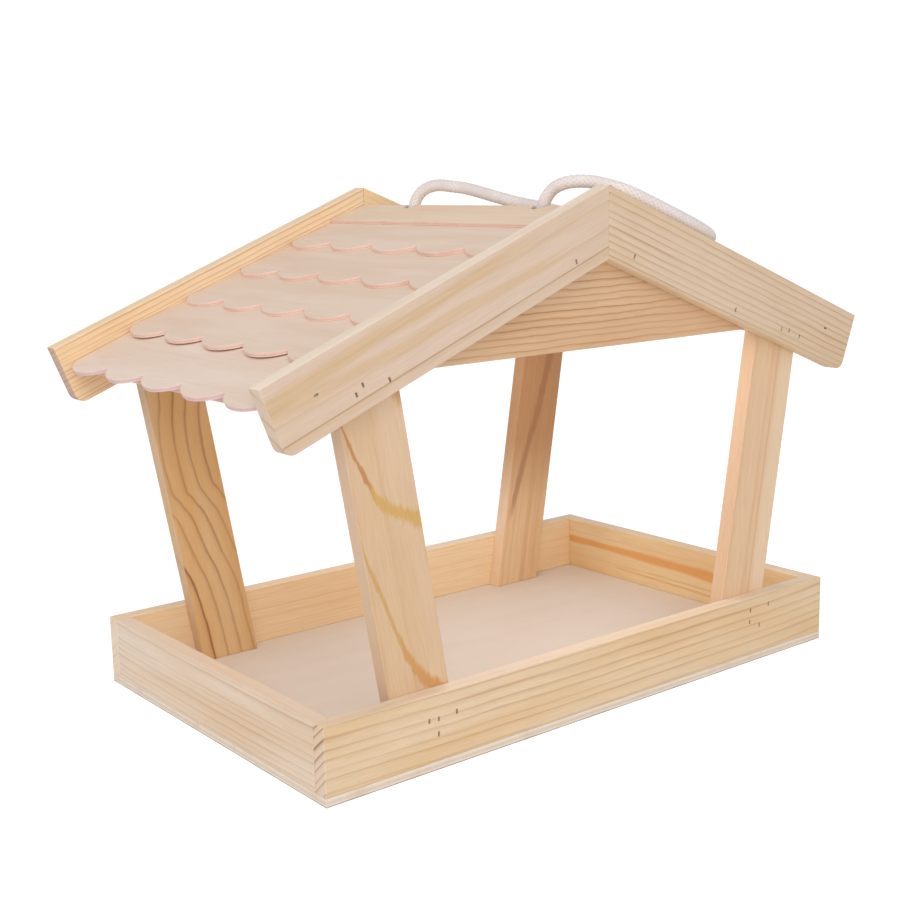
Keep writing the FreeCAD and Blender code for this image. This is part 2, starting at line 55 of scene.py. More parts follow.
Colour = tuple[int, int, int]
Pair = tuple[float, float]
Point = Union[tuple[float, float, float], Vector]
Route = tuple[Pair, ...]
Socket = bpy.types.NodeSocket
Value = Union[float, tuple, Socket]


def linear(colour: Colour) -> tuple[float, float, float, float]:
    """Turn a colour written in sRGB, from 0 to 255, into the linear values that a colour socket takes."""
    shares = [part / 255 for part in colour]
    return (*(s / 12.92 if s <= 0.04045 else ((s + 0.055) / 1.055) ** 2.4 for s in shares), 1.0)


def blend(first: Colour, second: Colour, share: float) -> Colour:
    """Mix two written colours, with the given share of the second."""
    return tuple(round(a + (b - a) * share) for a, b in zip(first, second))


def direction(azimuth: float, elevation: float) -> Vector:
    """Give the direction towards a place round the feeder, from its front, by angles in degrees."""
    turn, rise = math.radians(azimuth), math.radians(elevation)
    return Vector((math.sin(turn) * math.cos(rise), -math.cos(turn) * math.cos(rise), math.sin(rise)))


def new_object(name: str, data: Any) -> bpy.types.Object:
    """Put a new object into the scene.

    Args:
        name: its name.
        data: its mesh, curve, lamp or camera.

    Returns:
        The object.
    """
    made = bpy.data.objects.new(name, data)
    bpy.context.scene.collection.objects.link(made)
    return made


def plain_mesh(item: bpy.types.Object) -> bpy.types.Mesh:
    """Take an object's evaluated shape as a plain mesh.

    Args:
        item: the object.

    Returns:
        A new mesh.
    """
    bpy.context.view_layer.update()
    evaluated = item.evaluated_get(bpy.context.evaluated_depsgraph_get())
    return bpy.data.meshes.new_from_object(evaluated)


def show(piece: bpy.types.Object, slot: str, *nodes: str) -> bpy.types.Object:
    """Let a piece ride on the part and stand for the CAD nodes that it dresses.

    Args:
        piece: the finished object.
        slot: the name of a material slot. It is not used.
        nodes: the CAD nodes.

    Returns:
        The piece.
    """
    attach(piece, BODY)
    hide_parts(*nodes)
    LOG.info("%s stands for %s with %d faces", piece.name, ", ".join(nodes), len(piece.data.polygons))
    return piece


@dataclass(frozen=True)
class Place:
    """Where a piece lies: its corner, length and width in millimetres, and the directions of both."""

    corner: Point = (0.0, 0.0, 0.0)
    along: Point = RIGHTWARD
    across: Point = BACKWARD
    length: float = 1.0
    width: float = 1.0

    def axes(self) -> Matrix:
        """Give the piece's own axes as the columns of a matrix."""
        along, across = Vector(self.along).normalized(), Vector(self.across).normalized()
        return Matrix((along, across, along.cross(across))).transposed()

    def facing(self, normal: Vector) -> tuple[float, ...]:
        """Give how far a normal points along, across and through the piece."""
        return tuple(abs(part) for part in self.axes().transposed() @ normal)


class Wiring:
    """A node tree that is being built, for a material, the world or geometry."""

    def __init__(self, tree: bpy.types.NodeTree) -> None:
        """Start on an empty or fresh tree."""
        self.tree = tree

    def add(self, kind: str, inputs: dict | None = None, **settings: Any) -> bpy.types.Node:
        """Add a node.

        Args:
            kind: the node's type.
            inputs: what goes into its sockets, by their name or number.
            settings: its other properties.

        Returns:
            The node.
        """
        node = self.tree.nodes.new(kind)
        for name, setting in settings.items():
            setattr(node, name, setting)
        for key, value in (inputs or {}).items():
            self.feed(node.inputs[key], value)
        return node

    def out(self, kind: str, inputs: dict | None = None, **settings: Any) -> Socket:
        """Add a node and give its first output."""
        return self.add(kind, inputs, **settings).outputs[0]

    def feed(self, socket: Socket, value: Value) -> None:
        """Link a socket to another one, or set its value.

        Args:
            socket: the input.
            value: the other socket, or the value.
        """
        if isinstance(value, bpy.types.NodeSocket):
            self.tree.links.new(value, socket)
        else:
            socket.default_value = value

    def math(self, operation: str, *values: Value) -> Socket:
        """Work out one step of arithmetic on one to three numbers or sockets."""
        return self.out("ShaderNodeMath", dict(enumerate(values)), operation=operation)

    def total(self, *values: Value) -> Socket:
        """Add up several numbers or sockets."""
        return reduce(partial(self.math, "ADD"), values)

    def product(self, *values: Value) -> Socket:
        """Multiply several numbers or sockets."""
        return reduce(partial(self.math, "MULTIPLY"), values)

    def parts(self, vector: Socket) -> tuple[Socket, ...]:
        """Split a vector into its three parts."""
        return tuple(self.add("ShaderNodeSeparateXYZ", {0: vector}).outputs)

    def show_white(self, sink: str, plain: Socket, white: Socket, rays: Sequence[str], share: float) -> None:
        """Lead a shader to the tree's end, and a white one for the rays that look straight at it.

        Args:
            sink: the name of the tree's output node.
            plain: the shader that lights the feeder.
            white: the shader that is seen.
            rays: the kinds of rays that see it.
            share: how much of it they see.
        """
        kinds = self.add("ShaderNodeLightPath").outputs
        seen = reduce(partial(self.math, "MAXIMUM"), [kinds[f"Is {ray} Ray"] for ray in rays])
        mixed = self.out("ShaderNodeMixShader", {0: self.product(seen, share), 1: plain, 2: white})
        self.feed(self.tree.nodes[sink].inputs["Surface"], mixed)


class Paint(Wiring):
    """The node tree of one material, for a piece in its place."""

    BUMP = 0.6
    LEAST_SPAN = 1e-6

    def __init__(self, name: str, place: Place = Place(), seed: float = 0.0) -> None:
        """Start a material with its shader.

        Args:
            name: the material's name.
            place: where the piece lies.
            seed: a shift that makes pieces differ.
        """
        self.material = bpy.data.materials.new(name)
        self.material.use_nodes = True
        super().__init__(self.material.node_tree)
        self.shader = self.tree.nodes["Principled BSDF"]
        self.place = place
        self.seed = seed

    @cached_property
    def spot(self) -> Socket:
        """Where a point lies on the piece, in millimetres along its own axes."""
        inputs = {"Vector": self.add("ShaderNodeTexCoord").outputs["Object"],
                  "Location": [part * MM for part in self.place.corner],
                  "Rotation": self.place.axes().to_euler(), "Scale": (MM, MM, MM)}
        return self.out("ShaderNodeMapping", inputs, vector_type="TEXTURE")

    @cached_property
    def distances(self) -> tuple[Socket, ...]:
        """How far a point lies along, across and through the piece."""
        return self.parts(self.spot)

    def spread(
        self, value: Value, low: Value, high: Value, to_low: Value = 0.0, to_high: Value = 1.0
    ) -> Socket:
        """Map a range of values smoothly to another, and hold it there outside."""
        inputs = dict(enumerate((value, low, high, to_low, to_high)))
        return self.out("ShaderNodeMapRange", inputs, interpolation_type="SMOOTHSTEP")

    def curve(self, value: Value, points: Route) -> Socket:
        """Draw a smooth curve over a value from 0 to 1.

        Args:
            value: what the curve is read at.
            points: the curve's points, whose heights have any range.

        Returns:
            The curve's height there.
        """
        low = min(height for _, height in points)
        span = max(max(height for _, height in points) - low, self.LEAST_SPAN)
        node = self.add("ShaderNodeFloatCurve", {"Value": value})
        line = node.mapping.curves[0]
        while len(line.points) < len(points):
            line.points.new(0.5, 0.5)
        for item, (along, height) in zip(line.points, points):
            item.location = (along, (height - low) / span)
        node.mapping.update()
        return self.math("MULTIPLY_ADD", node.outputs[0], span, low)

    def mix(self, share: Value, first: Value, second: Value, mode: str = "MIX") -> Socket:
        """Mix two colours by a share."""
        inputs = {0: share, 6: first, 7: second}
        return self.add("ShaderNodeMix", inputs, data_type="RGBA", blend_type=mode).outputs[2]

    def stain(self, colour: Value, written: Colour, share: Value) -> Socket:
        """Lay a written colour over another by a share."""
        return self.mix(share, colour, linear(written))

    def shade(self, colour: Socket, level: Socket) -> Socket:
        """Darken or lighten a colour by a level about one."""
        grey = self.out("ShaderNodeCombineColor", {0: level, 1: level, 2: level})
        return self.mix(1.0, colour, grey, "MULTIPLY")

    def finish(
        self, colour: Value, roughness: Value, height: Value, depth: float, **others: Value
    ) -> bpy.types.Material:
        """Join the shader up.

        Args:
            colour: the surface's colour.
            roughness: its roughness.
            height: its fine relief, from 0 to 1.
            depth: how deep that relief is, in millimetres.
            others: more of the shader's inputs, whose names have _ for a space.

        Returns:
            The material.
        """
        bump = self.out("ShaderNodeBump", {"Strength": self.BUMP, "Distance": depth * MM, "Height": height})
        inputs = {"Base_Color": colour, "Roughness": roughness, "Normal": bump, **others}
        for name, value in inputs.items():
            self.feed(self.shader.inputs[name.replace("_", " ")], value)
        return self.material


@dataclass(frozen=True)
class Mottle:
    """Smooth unevenness of a finish: its lengths along the piece's axes in millimetres, and its fineness.

    Its shift sets it apart from others on the same piece, and a steady one is the same on all pieces. Values
    in its band are spread over its effect.
    """

    lengths: Point
    shift: float = 0.0
    detail: float = 2.0
    band: Pair = (0.0, 1.0)
    effect: Pair = (0.0, 1.0)
    steady: bool = False

    SHIFTS = (1.0, 1.7, 0.6)
    SWING = 4.0

    def noise(self, paint: Paint) -> Socket:
        """Lay it on a piece.

        Args:
            paint: the piece's paint.

        Returns:
            Values about one half.
        """
        shift = self.shift if self.steady else paint.seed + self.shift
        inputs = {"Vector": paint.spot, "Location": [shift * part for part in self.SHIFTS],
                  "Scale": [1 / part for part in self.lengths]}
        vector = paint.out("ShaderNodeMapping", inputs)
        return paint.out("ShaderNodeTexNoise", {"Vector": vector, "Scale": 1.0, "Detail": self.detail})

    def level(self, paint: Paint) -> Socket:
        """Lay it on a piece as a level from one end of its effect to the other."""
        return paint.spread(self.noise(paint), *self.band, *self.effect)

    def sway(self, paint: Paint, reach: float) -> Socket:
        """Lay it on a piece as a distance of up to about the given reach, to either side."""
        return paint.product(paint.math("SUBTRACT", self.noise(paint), 0.5), self.SWING * reach)


class Shaper(Wiring):
    """A Geometry Nodes tree with named sizes."""

    def __init__(self, name: str, **sizes: Sequence[str]) -> None:
        """Start a tree.

        Args:
            name: the tree's name.
            sizes: the names of its inputs after the geometry, by their kind, such as Float or Int.
        """
        super().__init__(bpy.data.node_groups.new(name, "GeometryNodeTree"))
        face = self.tree.interface
        for way in ("INPUT", "OUTPUT"):
            face.new_socket("Geometry", in_out=way, socket_type="NodeSocketGeometry")
        self.keys = {}
        for kind, names in sizes.items():
            for size in names:
                made = face.new_socket(size, in_out="INPUT", socket_type=f"NodeSocket{kind}")
                self.keys[size] = made.identifier
        self.source = self.add("NodeGroupInput")
        self.sink = self.add("NodeGroupOutput")

    def size(self, name: str) -> Socket:
        """Give the socket of a named input."""
        return self.source.outputs[name]

    def combine(self, x: Value, y: Value, z: Value) -> Socket:
        """Make a vector of three values."""
        return self.out("ShaderNodeCombineXYZ", {0: x, 1: y, 2: z})

    def store(self, shape: Socket, name: str, value: Socket) -> Socket:
        """Keep a value at each point of a shape under a name."""
        inputs = {"Geometry": shape, "Name": name, "Value": value}
        return self.out("GeometryNodeStoreNamedAttribute", inputs, domain="POINT")

    def recall(self, name: str, kind: str = "FLOAT") -> Socket:
        """Read a value that was kept under a name."""
        return self.out("GeometryNodeInputNamedAttribute", {"Name": name}, data_type=kind)

    def close(self, shape: Socket, *coats: tuple[Any, Any]) -> None:
        """End the tree: make instances real and set the materials.

        Args:
            shape: the finished shape.
            coats: each material with the choice of faces that get it, later ones over earlier ones.
        """
        shape = self.out("GeometryNodeRealizeInstances", {0: shape})
        for material, choice in coats:
            inputs = {"Geometry": shape, "Material": material, "Selection": choice}
            shape = self.out("GeometryNodeSetMaterial", inputs)
        self.feed(self.sink.inputs[0], shape)

    def grow(self, carrier: bpy.types.Object, sizes: dict[str, Any], bevel: float = 0.0) -> bpy.types.Mesh:
        """Run the tree on an object and take the result as a plain mesh.

        Args:
            carrier: the object whose geometry goes in. It is removed.
            sizes: a value for each named input.
            bevel: the width of its eased edges in metres, or 0 for none.

        Returns:
            The new mesh.
        """
        modifier = carrier.modifiers.new("shape", "NODES")
        modifier.node_group = self.tree
        for name, value in sizes.items():
            modifier[self.keys[name]] = value
        if bevel:
            ease = carrier.modifiers.new("ease", "BEVEL")
            ease.width = bevel
            ease.segments = EASE_STEPS
            ease.limit_method = "ANGLE"
        mesh = plain_mesh(carrier)
        carrier.modifiers.clear()
        bpy.data.objects.remove(carrier)
        return mesh


class Named(Enum):
    """An option whose name is part of the names of pieces and materials."""

    @property
    def word(self) -> str:
        """Give its name in small letters."""
        return self.name.lower()


class Side(Named):
    """The two slopes, by the sign of X."""

    LEFT = -1
    RIGHT = 1


class End(Named):
    """The two gables, by the sign of Y."""

    FRONT = -1
    BACK = 1


class Cut(Named):
    """How a face lies in a board: a wide face, a narrow edge or a sawn end."""

    FACE = 0
    EDGE = 1
    END = 2


class Reading(Enum):
    """Which distance a streak's way is read at."""

    ALONG = "along"
    ACROSS = "across"


@dataclass(frozen=True)
class Sizes:
    """Sizes that several sub-assemblies share, in millimetres and degrees."""

    width: float = 316.0
    depth: float = 194.0
    strip: float = 30.0
    thick: float = 8.0
    base: float = 4.0
    ridge: float = 242.0
    pitch: float = 21.4

    @property
    def inner(self) -> float:
        """Half depth inside the end walls and bargeboards."""
        return self.depth / 2 - self.thick

    @property
    def slope(self) -> float:
        """Slope of the roof, in radians."""
        return math.radians(self.pitch)


SIZES = Sizes()


def slope_axes(side: Side, angle: float) -> tuple[Vector, Vector]:
    """Give the directions down a slope on one side and square out of it, by its angle in radians."""
    level, fall = math.cos(angle), math.sin(angle)
    return Vector((side.value * level, 0.0, -fall)), Vector((side.value * fall, 0.0, level))


@dataclass(frozen=True)
class Streak:
    """One line or band in the wood.

    Its way gives millimetres across the board at shares of its length, or the other way round. The two
    widths, in millimetres too, are those at the way's first and last point. Past these it fades out over a
    share of the length. Torn is how far the fibres draw out its edge, and one that wraps goes on round the
    board's narrow edges. It is full within its core and gone past its rim, which are shares of its width.
    """

    way: Route
    widths: Pair
    colour: Colour
    strength: float = 0.7
    ragged: float = 0.4
    reading: Reading = Reading.ALONG
    torn: float = 0.0
    fade: float = 0.03
    wraps: bool = False

    TEETH = Mottle((7.0, 0.9, 0.9), shift=31.0, detail=1.0, steady=True)
    CORE = 0.2
    RIM = 0.6

    def cover(self, paint: Paint, shake: Socket) -> Socket:
        """Work out how far the streak covers a point.

        Args:
            paint: the board's paint.
            shake: a small uneven distance that frays the streak.

        Returns:
            Its share of the colour there.
        """
        along, across, _ = paint.distances
        if self.reading is Reading.ALONG:
            share, off = paint.math("DIVIDE", along, paint.place.length), across
        else:
            share, off = paint.math("DIVIDE", across, paint.place.width), along
        away = paint.math("ABSOLUTE", paint.math("SUBTRACT", off, paint.curve(share, self.way)))
        away = paint.math("MULTIPLY_ADD", shake, self.ragged, away)
        if self.torn:
            away = paint.total(away, self.TEETH.sway(paint, self.torn))
        first, last = self.way[0][0], self.way[-1][0]
        wide = paint.spread(share, first, last, *self.widths)
        core, rim = paint.product(wide, self.CORE), paint.product(wide, self.RIM)
        body = paint.spread(away, core, rim, self.strength, 0.0)
        begin = paint.spread(share, first - self.fade, first, 0.0 if first > 0 else 1.0, 1.0)
        cease = paint.spread(share, last, last + self.fade, 1.0, 0.0 if last < 1 else 1.0)
        return paint.product(body, begin, cease)


@dataclass(frozen=True)
class Pine:
    """Planed pine: growth rings about the heart of the trunk, cut by the faces of a board.

    The heart lies at a distance across and through the board, both in millimetres from its corner. Sway is
    how far the rings move sideways along the board, and raw how brown they are in its end grain. Ticks are
    dark strokes where the lines are torn out, up to that many millimetres from the board's start.
    """

    pale: Colour = (231, 212, 185)
    tint: Colour = (228, 201, 164)
    line: Colour = (197, 152, 104)
    edge: Colour = (237, 218, 198)
    end: Colour = (234, 212, 192)
    gap: float = 4.5
    heart: Pair = (-160.0, 120.0)
    sway: Route = ()
    wobble: float = 0.5
    wave: float = 28.0
    strength: float = 0.6
    uneven: float = 0.8
    seed: float = 0.0
    ticks: float = 0.0
    crisp: bool = False
    raw: float = 0.55
    streaks: tuple[Streak, ...] = ()

    SOFT_LINE = ((0.0, 0.4), (0.05, 0.12), (0.16, 0.0), (0.55, 0.06), (0.82, 0.45), (0.93, 1.0), (1.0, 0.4))
    CRISP_LINE = ((0.0, 0.5), (0.04, 0.14), (0.12, 0.0), (0.6, 0.05), (0.83, 0.35), (0.93, 1.0), (1.0, 0.5))
    TORN = (134, 92, 54)
    FADE = Mottle((80.0, 24.0, 24.0), shift=5.0, detail=1.0, band=(0.3, 0.62), effect=(0.55, 1.0))
    PATCH = Mottle((120.0, 22.0, 22.0), shift=9.0, band=(0.35, 0.68))
    PORES = Mottle((5.0, 0.3, 0.3), shift=4.0, detail=1.0, band=(0.72, 0.82), effect=(0.0, 0.3))
    LONG_FIBRE = Mottle((14.0, 0.45, 0.45), shift=2.0, detail=4.0)
    CUT_FIBRE = Mottle((0.5, 0.4, 0.4), shift=2.0, detail=4.0)
    FIBRE_BAND = (0.2, 0.8)
    TONES = (0.92, 1.05)
    ROUGHNESS = (0.52, 0.68)
    LATE_RELIEF = 0.15
    RELIEF = 0.12
    WAVE_RATIO = 2.5
    WAVE_DEPTH = 40.0
    FAINTEST = 0.5
    PULSE = 0.4
    SWELL = 3.0
    TICK_START = 0.3
    TICK_STRENGTH = 0.8
    TICK_LINES = (0.25, 0.8)
    EDGE_TINT = 0.5
    EDGE_LINES = 0.2
    END_TINT = 0.4
    END_LINES = 1.5

    def coat(self, cut: Cut) -> "Pine":
        """Change the wood to how it looks on one kind of cut.

        Args:
            cut: the kind of cut.

        Returns:
            The wood there.
        """
        if cut is Cut.FACE:
            return self
        bare = replace(self, streaks=(), ticks=0.0)
        if cut is Cut.EDGE:
            round_about = tuple(streak for streak in self.streaks if streak.wraps)
            return replace(bare, pale=self.edge, tint=blend(self.edge, self.tint, self.EDGE_TINT),
                           strength=self.EDGE_LINES * self.strength, streaks=round_about)
        return replace(bare, pale=self.end, tint=blend(self.end, self.tint, self.END_TINT),
                       line=blend(self.line, self.TORN, self.raw),
                       strength=min(1.0, self.END_LINES * self.strength))

    def rings(self, paint: Paint, shake: Socket) -> Socket:
        """Count the growth rings from the heart to a point.

        Args:
            paint: the board's paint.
            shake: a small uneven distance that bends the rings.

        Returns:
            The count with its fraction.
        """
        along, across, through = paint.distances
        sway = 0.0
        if self.sway:
            sway = paint.curve(paint.math("DIVIDE", along, paint.place.length), self.sway)
        side = paint.total(across, -self.heart[0], shake, sway)
        deep = paint.total(through, -self.heart[1])
        radius = paint.math("SQRT", paint.total(paint.product(side, side), paint.product(deep, deep)))
        inputs = {"W": radius, "Scale": self.PULSE / self.gap, "Detail": 1.0}
        pulse = paint.math("SUBTRACT", paint.out("ShaderNodeTexNoise", inputs, noise_dimensions="1D"), 0.5)
        swollen = paint.math("MULTIPLY_ADD", pulse, self.SWELL * self.uneven * self.gap, radius)
        return paint.math("DIVIDE", swollen, self.gap)

    def material(self, name: str, place: Place, cut: Cut) -> bpy.types.Material:
        """Make the wood of one board on one kind of cut.

        Args:
            name: the material's name.
            place: where the board lies.
            cut: the kind of cut.

        Returns:
            The material.
        """
        coat = self.coat(cut)
        paint = Paint(name, place, coat.seed)
        ripple = Mottle((coat.wave, coat.wave / self.WAVE_RATIO, self.WAVE_DEPTH), detail=3.0)
        shake = ripple.sway(paint, coat.wobble)
        rings = coat.rings(paint, shake)
        late = paint.curve(paint.math("FRACT", rings), self.CRISP_LINE if coat.crisp else self.SOFT_LINE)
        lot = paint.out("ShaderNodeTexWhiteNoise", {"W": paint.math("FLOOR", rings)}, noise_dimensions="1D")
        weight = paint.math("MULTIPLY_ADD", lot, 1 - self.FAINTEST, self.FAINTEST)
        dark = paint.product(late, weight, self.FADE.level(paint), coat.strength)
        colour = paint.stain(linear(coat.pale), coat.tint, self.PATCH.level(paint))
        colour = paint.stain(colour, coat.line, dark)
        for streak in coat.streaks:
            colour = paint.stain(colour, streak.colour, streak.cover(paint, shake))
        if coat.ticks:
            first = self.TICK_START * coat.ticks
            near = paint.spread(paint.distances[0], first, coat.ticks, self.TICK_STRENGTH, 0.0)
            torn = paint.product(near, paint.spread(late, *self.TICK_LINES))
            colour = paint.stain(colour, self.TORN, torn)
        fibre = (self.CUT_FIBRE if cut is Cut.END else self.LONG_FIBRE).noise(paint)
        colour = paint.shade(colour, paint.spread(fibre, *self.FIBRE_BAND, *self.TONES))
        colour = paint.stain(colour, coat.line, self.PORES.level(paint))
        fine = paint.product(fibre, 1 - self.LATE_RELIEF)
        height = paint.math("MULTIPLY_ADD", late, self.LATE_RELIEF, fine)
        roughness = paint.spread(fibre, *self.FIBRE_BAND, *self.ROUGHNESS)
        return paint.finish(colour, roughness, height, self.RELIEF)


@dataclass(frozen=True)
class Ply:
    """Thin plywood: a smooth peeled veneer face, and a cut edge that shows its layers and can carry painted
    contact shadow along its bottom.
    """

    face: Colour = (237, 216, 201)
    tint: Colour = (231, 207, 188)
    streak: Colour = (224, 196, 170)
    edge: Colour = (241, 215, 204)
    core: Colour = (227, 186, 170)
    flame: float = 0.28
    seed: float = 0.0
    # how strongly painted contact shadow darkens the bottom of the cut edge
    scorch: float = 0.0

    # colour and band of the painted contact shadow along the bottom of a cut edge
    CONTACT_SHADE_COLOUR = (112, 98, 86)
    SCORCH_BAND = (0.07, 0.17)
    LAYERS = ((0.0, 0.0), (0.28, 0.1), (0.4, 1.0), (0.6, 1.0), (0.72, 0.1), (1.0, 0.0))
    PATCH = Mottle((90.0, 16.0, 16.0), band=(0.34, 0.66))
    FLAME = Mottle((46.0, 2.6, 9.0), shift=3.0, detail=3.0, band=(0.52, 0.72))
    FIBRE = Mottle((9.0, 0.35, 0.35), shift=6.0, detail=3.0)
    FIBRE_BAND = (0.2, 0.8)
    TONES = (0.95, 1.03)
    ROUGHNESS = (0.55, 0.68)
    RELIEF = 0.06
    DRIFT = Mottle((20.0, 20.0, 20.0))
    DRIFT_REACH = 0.125
    GRIT = Mottle((0.7, 0.7, 0.25), shift=1.0, detail=3.0)
    GRIT_BAND = (0.3, 0.7)
    GRIT_EFFECT = (0.35, 0.75)
    BURN = Mottle((11.0, 11.0, 11.0), shift=8.0, band=(0.45, 0.75), effect=(0.0, 0.5))
    EDGE_ROUGHNESS = 0.75
    EDGE_RELIEF = 0.12

    def face_material(self, name: str, place: Place) -> bpy.types.Material:
        """Make the veneer of one sheet, whose fibres run along its length.

        Args:
            name: the material's name.
            place: where the sheet lies.

        Returns:
            The material.
        """
        paint = Paint(name, place, self.seed)
        colour = paint.stain(linear(self.face), self.tint, self.PATCH.level(paint))
        flames = paint.product(self.FLAME.level(paint), self.flame)
        colour = paint.stain(colour, self.streak, flames)
        fibre = self.FIBRE.noise(paint)
        colour = paint.shade(colour, paint.spread(fibre, *self.FIBRE_BAND, *self.TONES))
        roughness = paint.spread(fibre, *self.FIBRE_BAND, *self.ROUGHNESS)
        return paint.finish(colour, roughness, fibre, self.RELIEF)

    def edge_material(self, name: str, place: Place, thick: float) -> bpy.types.Material:
        """Make the cut edge of one sheet.

        Args:
            name: the material's name.
            place: where the sheet lies.
            thick: its thickness in millimetres.

        Returns:
            The material.
        """
        paint = Paint(name, place, self.seed)
        drift = self.DRIFT.sway(paint, self.DRIFT_REACH)
        level = paint.math("DIVIDE", paint.total(drift, paint.distances[2]), thick)
        grit = self.GRIT.noise(paint)
        rough = paint.spread(grit, *self.GRIT_BAND, *self.GRIT_EFFECT)
        cover = paint.product(paint.curve(level, self.LAYERS), rough)
        colour = paint.stain(linear(self.edge), self.core, cover)
        colour = paint.stain(colour, self.core, self.BURN.level(paint))
        # painted shade: a dark band along the bottom of the cut edge stands for the contact shadow under the
        # sheet
        if self.scorch:
            low = paint.spread(level, *self.SCORCH_BAND, self.scorch, 0.0)
            colour = paint.stain(colour, self.CONTACT_SHADE_COLOUR, low)
        return paint.finish(colour, self.EDGE_ROUGHNESS, grit, self.EDGE_RELIEF)

    def materials(self, node: str, place: Place, thick: float) -> list[bpy.types.Material]:
        """Make the face and the edge of a node's sheet."""
        return [self.face_material(f"{node}_face", place), self.edge_material(f"{node}_edge", place, thick)]


@dataclass(frozen=True)
class Cotton:
    """White braided cotton, a little darker and pinker down between its strands by painted shade, and soiled
    in patches.
    """

    pale: Colour = (240, 235, 236)
    # shade is the colour of both the painted shade between the strands and the soiled patches
    shade: Colour = (214, 203, 206)
    roughness: float = 0.92
    relief: float = 0.15
    sheen: float = 0.25
    sheen_roughness: float = 0.5

    SOIL = Mottle((14.0, 14.0, 14.0), shift=3.0, band=(0.35, 0.7), effect=(0.0, 0.5))
    FLUFF = Mottle((0.35, 0.35, 0.35), shift=7.0, detail=4.0)
    # band of the braid's relief that gets painted shade, down between the strands
    VALLEY = (0.1, 0.6)
    VALLEY_EFFECT = (0.8, 0.0)

    def material(self) -> bpy.types.Material:
        """Make the rope's material.

        Returns:
            The material.
        """
        paint = Paint("rope_cotton")
        rise = paint.add("ShaderNodeAttribute", attribute_name="rise").outputs["Fac"]
        # painted shade: the valleys between the strands take the shade colour
        low = paint.spread(rise, *self.VALLEY, *self.VALLEY_EFFECT)
        cover = paint.math("MAXIMUM", low, self.SOIL.level(paint))
        colour = paint.stain(linear(self.pale), self.shade, cover)
        return paint.finish(colour, self.roughness, self.FLUFF.noise(paint), self.relief,
                            Sheen_Weight=self.sheen, Sheen_Roughness=self.sheen_roughness)


@dataclass(frozen=True)
class Steel:
    """The dulled and unevenly stained steel of a brad's head."""

    bright: Colour = (170, 150, 128)
    dull: Colour = (122, 102, 82)
    roughness: Pair = (0.4, 0.7)
    relief: float = 0.05
    metallic: float = 0.2

    STAIN = Mottle((1.1, 1.1, 1.1), shift=2.0, detail=3.0, band=(0.35, 0.6))

    def material(self) -> bpy.types.Material:
        """Make the brads' material.

        Returns:
            The material.
        """
        paint = Paint("brad_steel")
        stain = self.STAIN.level(paint)
        colour = paint.stain(linear(self.bright), self.dull, stain)
        roughness = paint.spread(stain, 0.0, 1.0, *self.roughness)
        return paint.finish(colour, roughness, stain, self.relief, Metallic=self.metallic)


@dataclass
class BradGroup:
    """The brads of one CAD node, read from its boxes, in metres."""

    node: str
    thin: float = 1.08 * MM
    wide: float = 2.16 * MM
    long: float = 0.0
    middles: list[Vector] = field(default_factory=list)
    frames: list[Matrix] = field(default_factory=list)

    RIM = 1.1
    SQUARE = 0.01

    def read(self) -> None:
        """Find the brads, each of which is a loose box of the node."""
        shape = bmesh.new()
        shape.from_mesh(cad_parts[self.node].data)
        bmesh.ops.remove_doubles(shape, verts=shape.verts, dist=JOIN)
        left = set(shape.verts)
        while left:
            found, waiting = set(), [left.pop()]
            while waiting:
                vertex = waiting.pop()
                found.add(vertex)
                nearby = (edge.other_vert(vertex) for edge in vertex.link_edges)
                waiting += [other for other in nearby if other not in found]
            left -= found
            self.measure([vertex.co.copy() for vertex in found])
        shape.free()

    def measure(self, corners: list[Vector]) -> None:
        """Note the middle and the three axes of one box.

        Args:
            corners: the box's corners.
        """
        ways = sorted((corner - corners[0] for corner in corners[1:]), key=lambda way: way.length)
        thin = ways[0].normalized()
        wide = next(way for way in ways[1:] if abs(way.normalized().dot(thin)) < self.SQUARE).normalized()
        deep = wide.cross(thin)
        self.long = max(abs(way.dot(deep)) for way in ways)
        self.middles.append(sum(corners, Vector()) / len(corners))
        self.frames.append(Matrix((thin, deep, thin.cross(deep))).transposed())

    def holds(self, spot: Vector) -> bool:
        """Tell whether a point lies at the hole of one of these brads.

        Args:
            spot: the point.

        Returns:
            True at a hole.
        """
        for middle, axes in zip(self.middles, self.frames):
            off = axes.transposed() @ (spot - middle)
            if math.hypot(off.x, off.z) < self.RIM * self.wide:
                return True
        return False


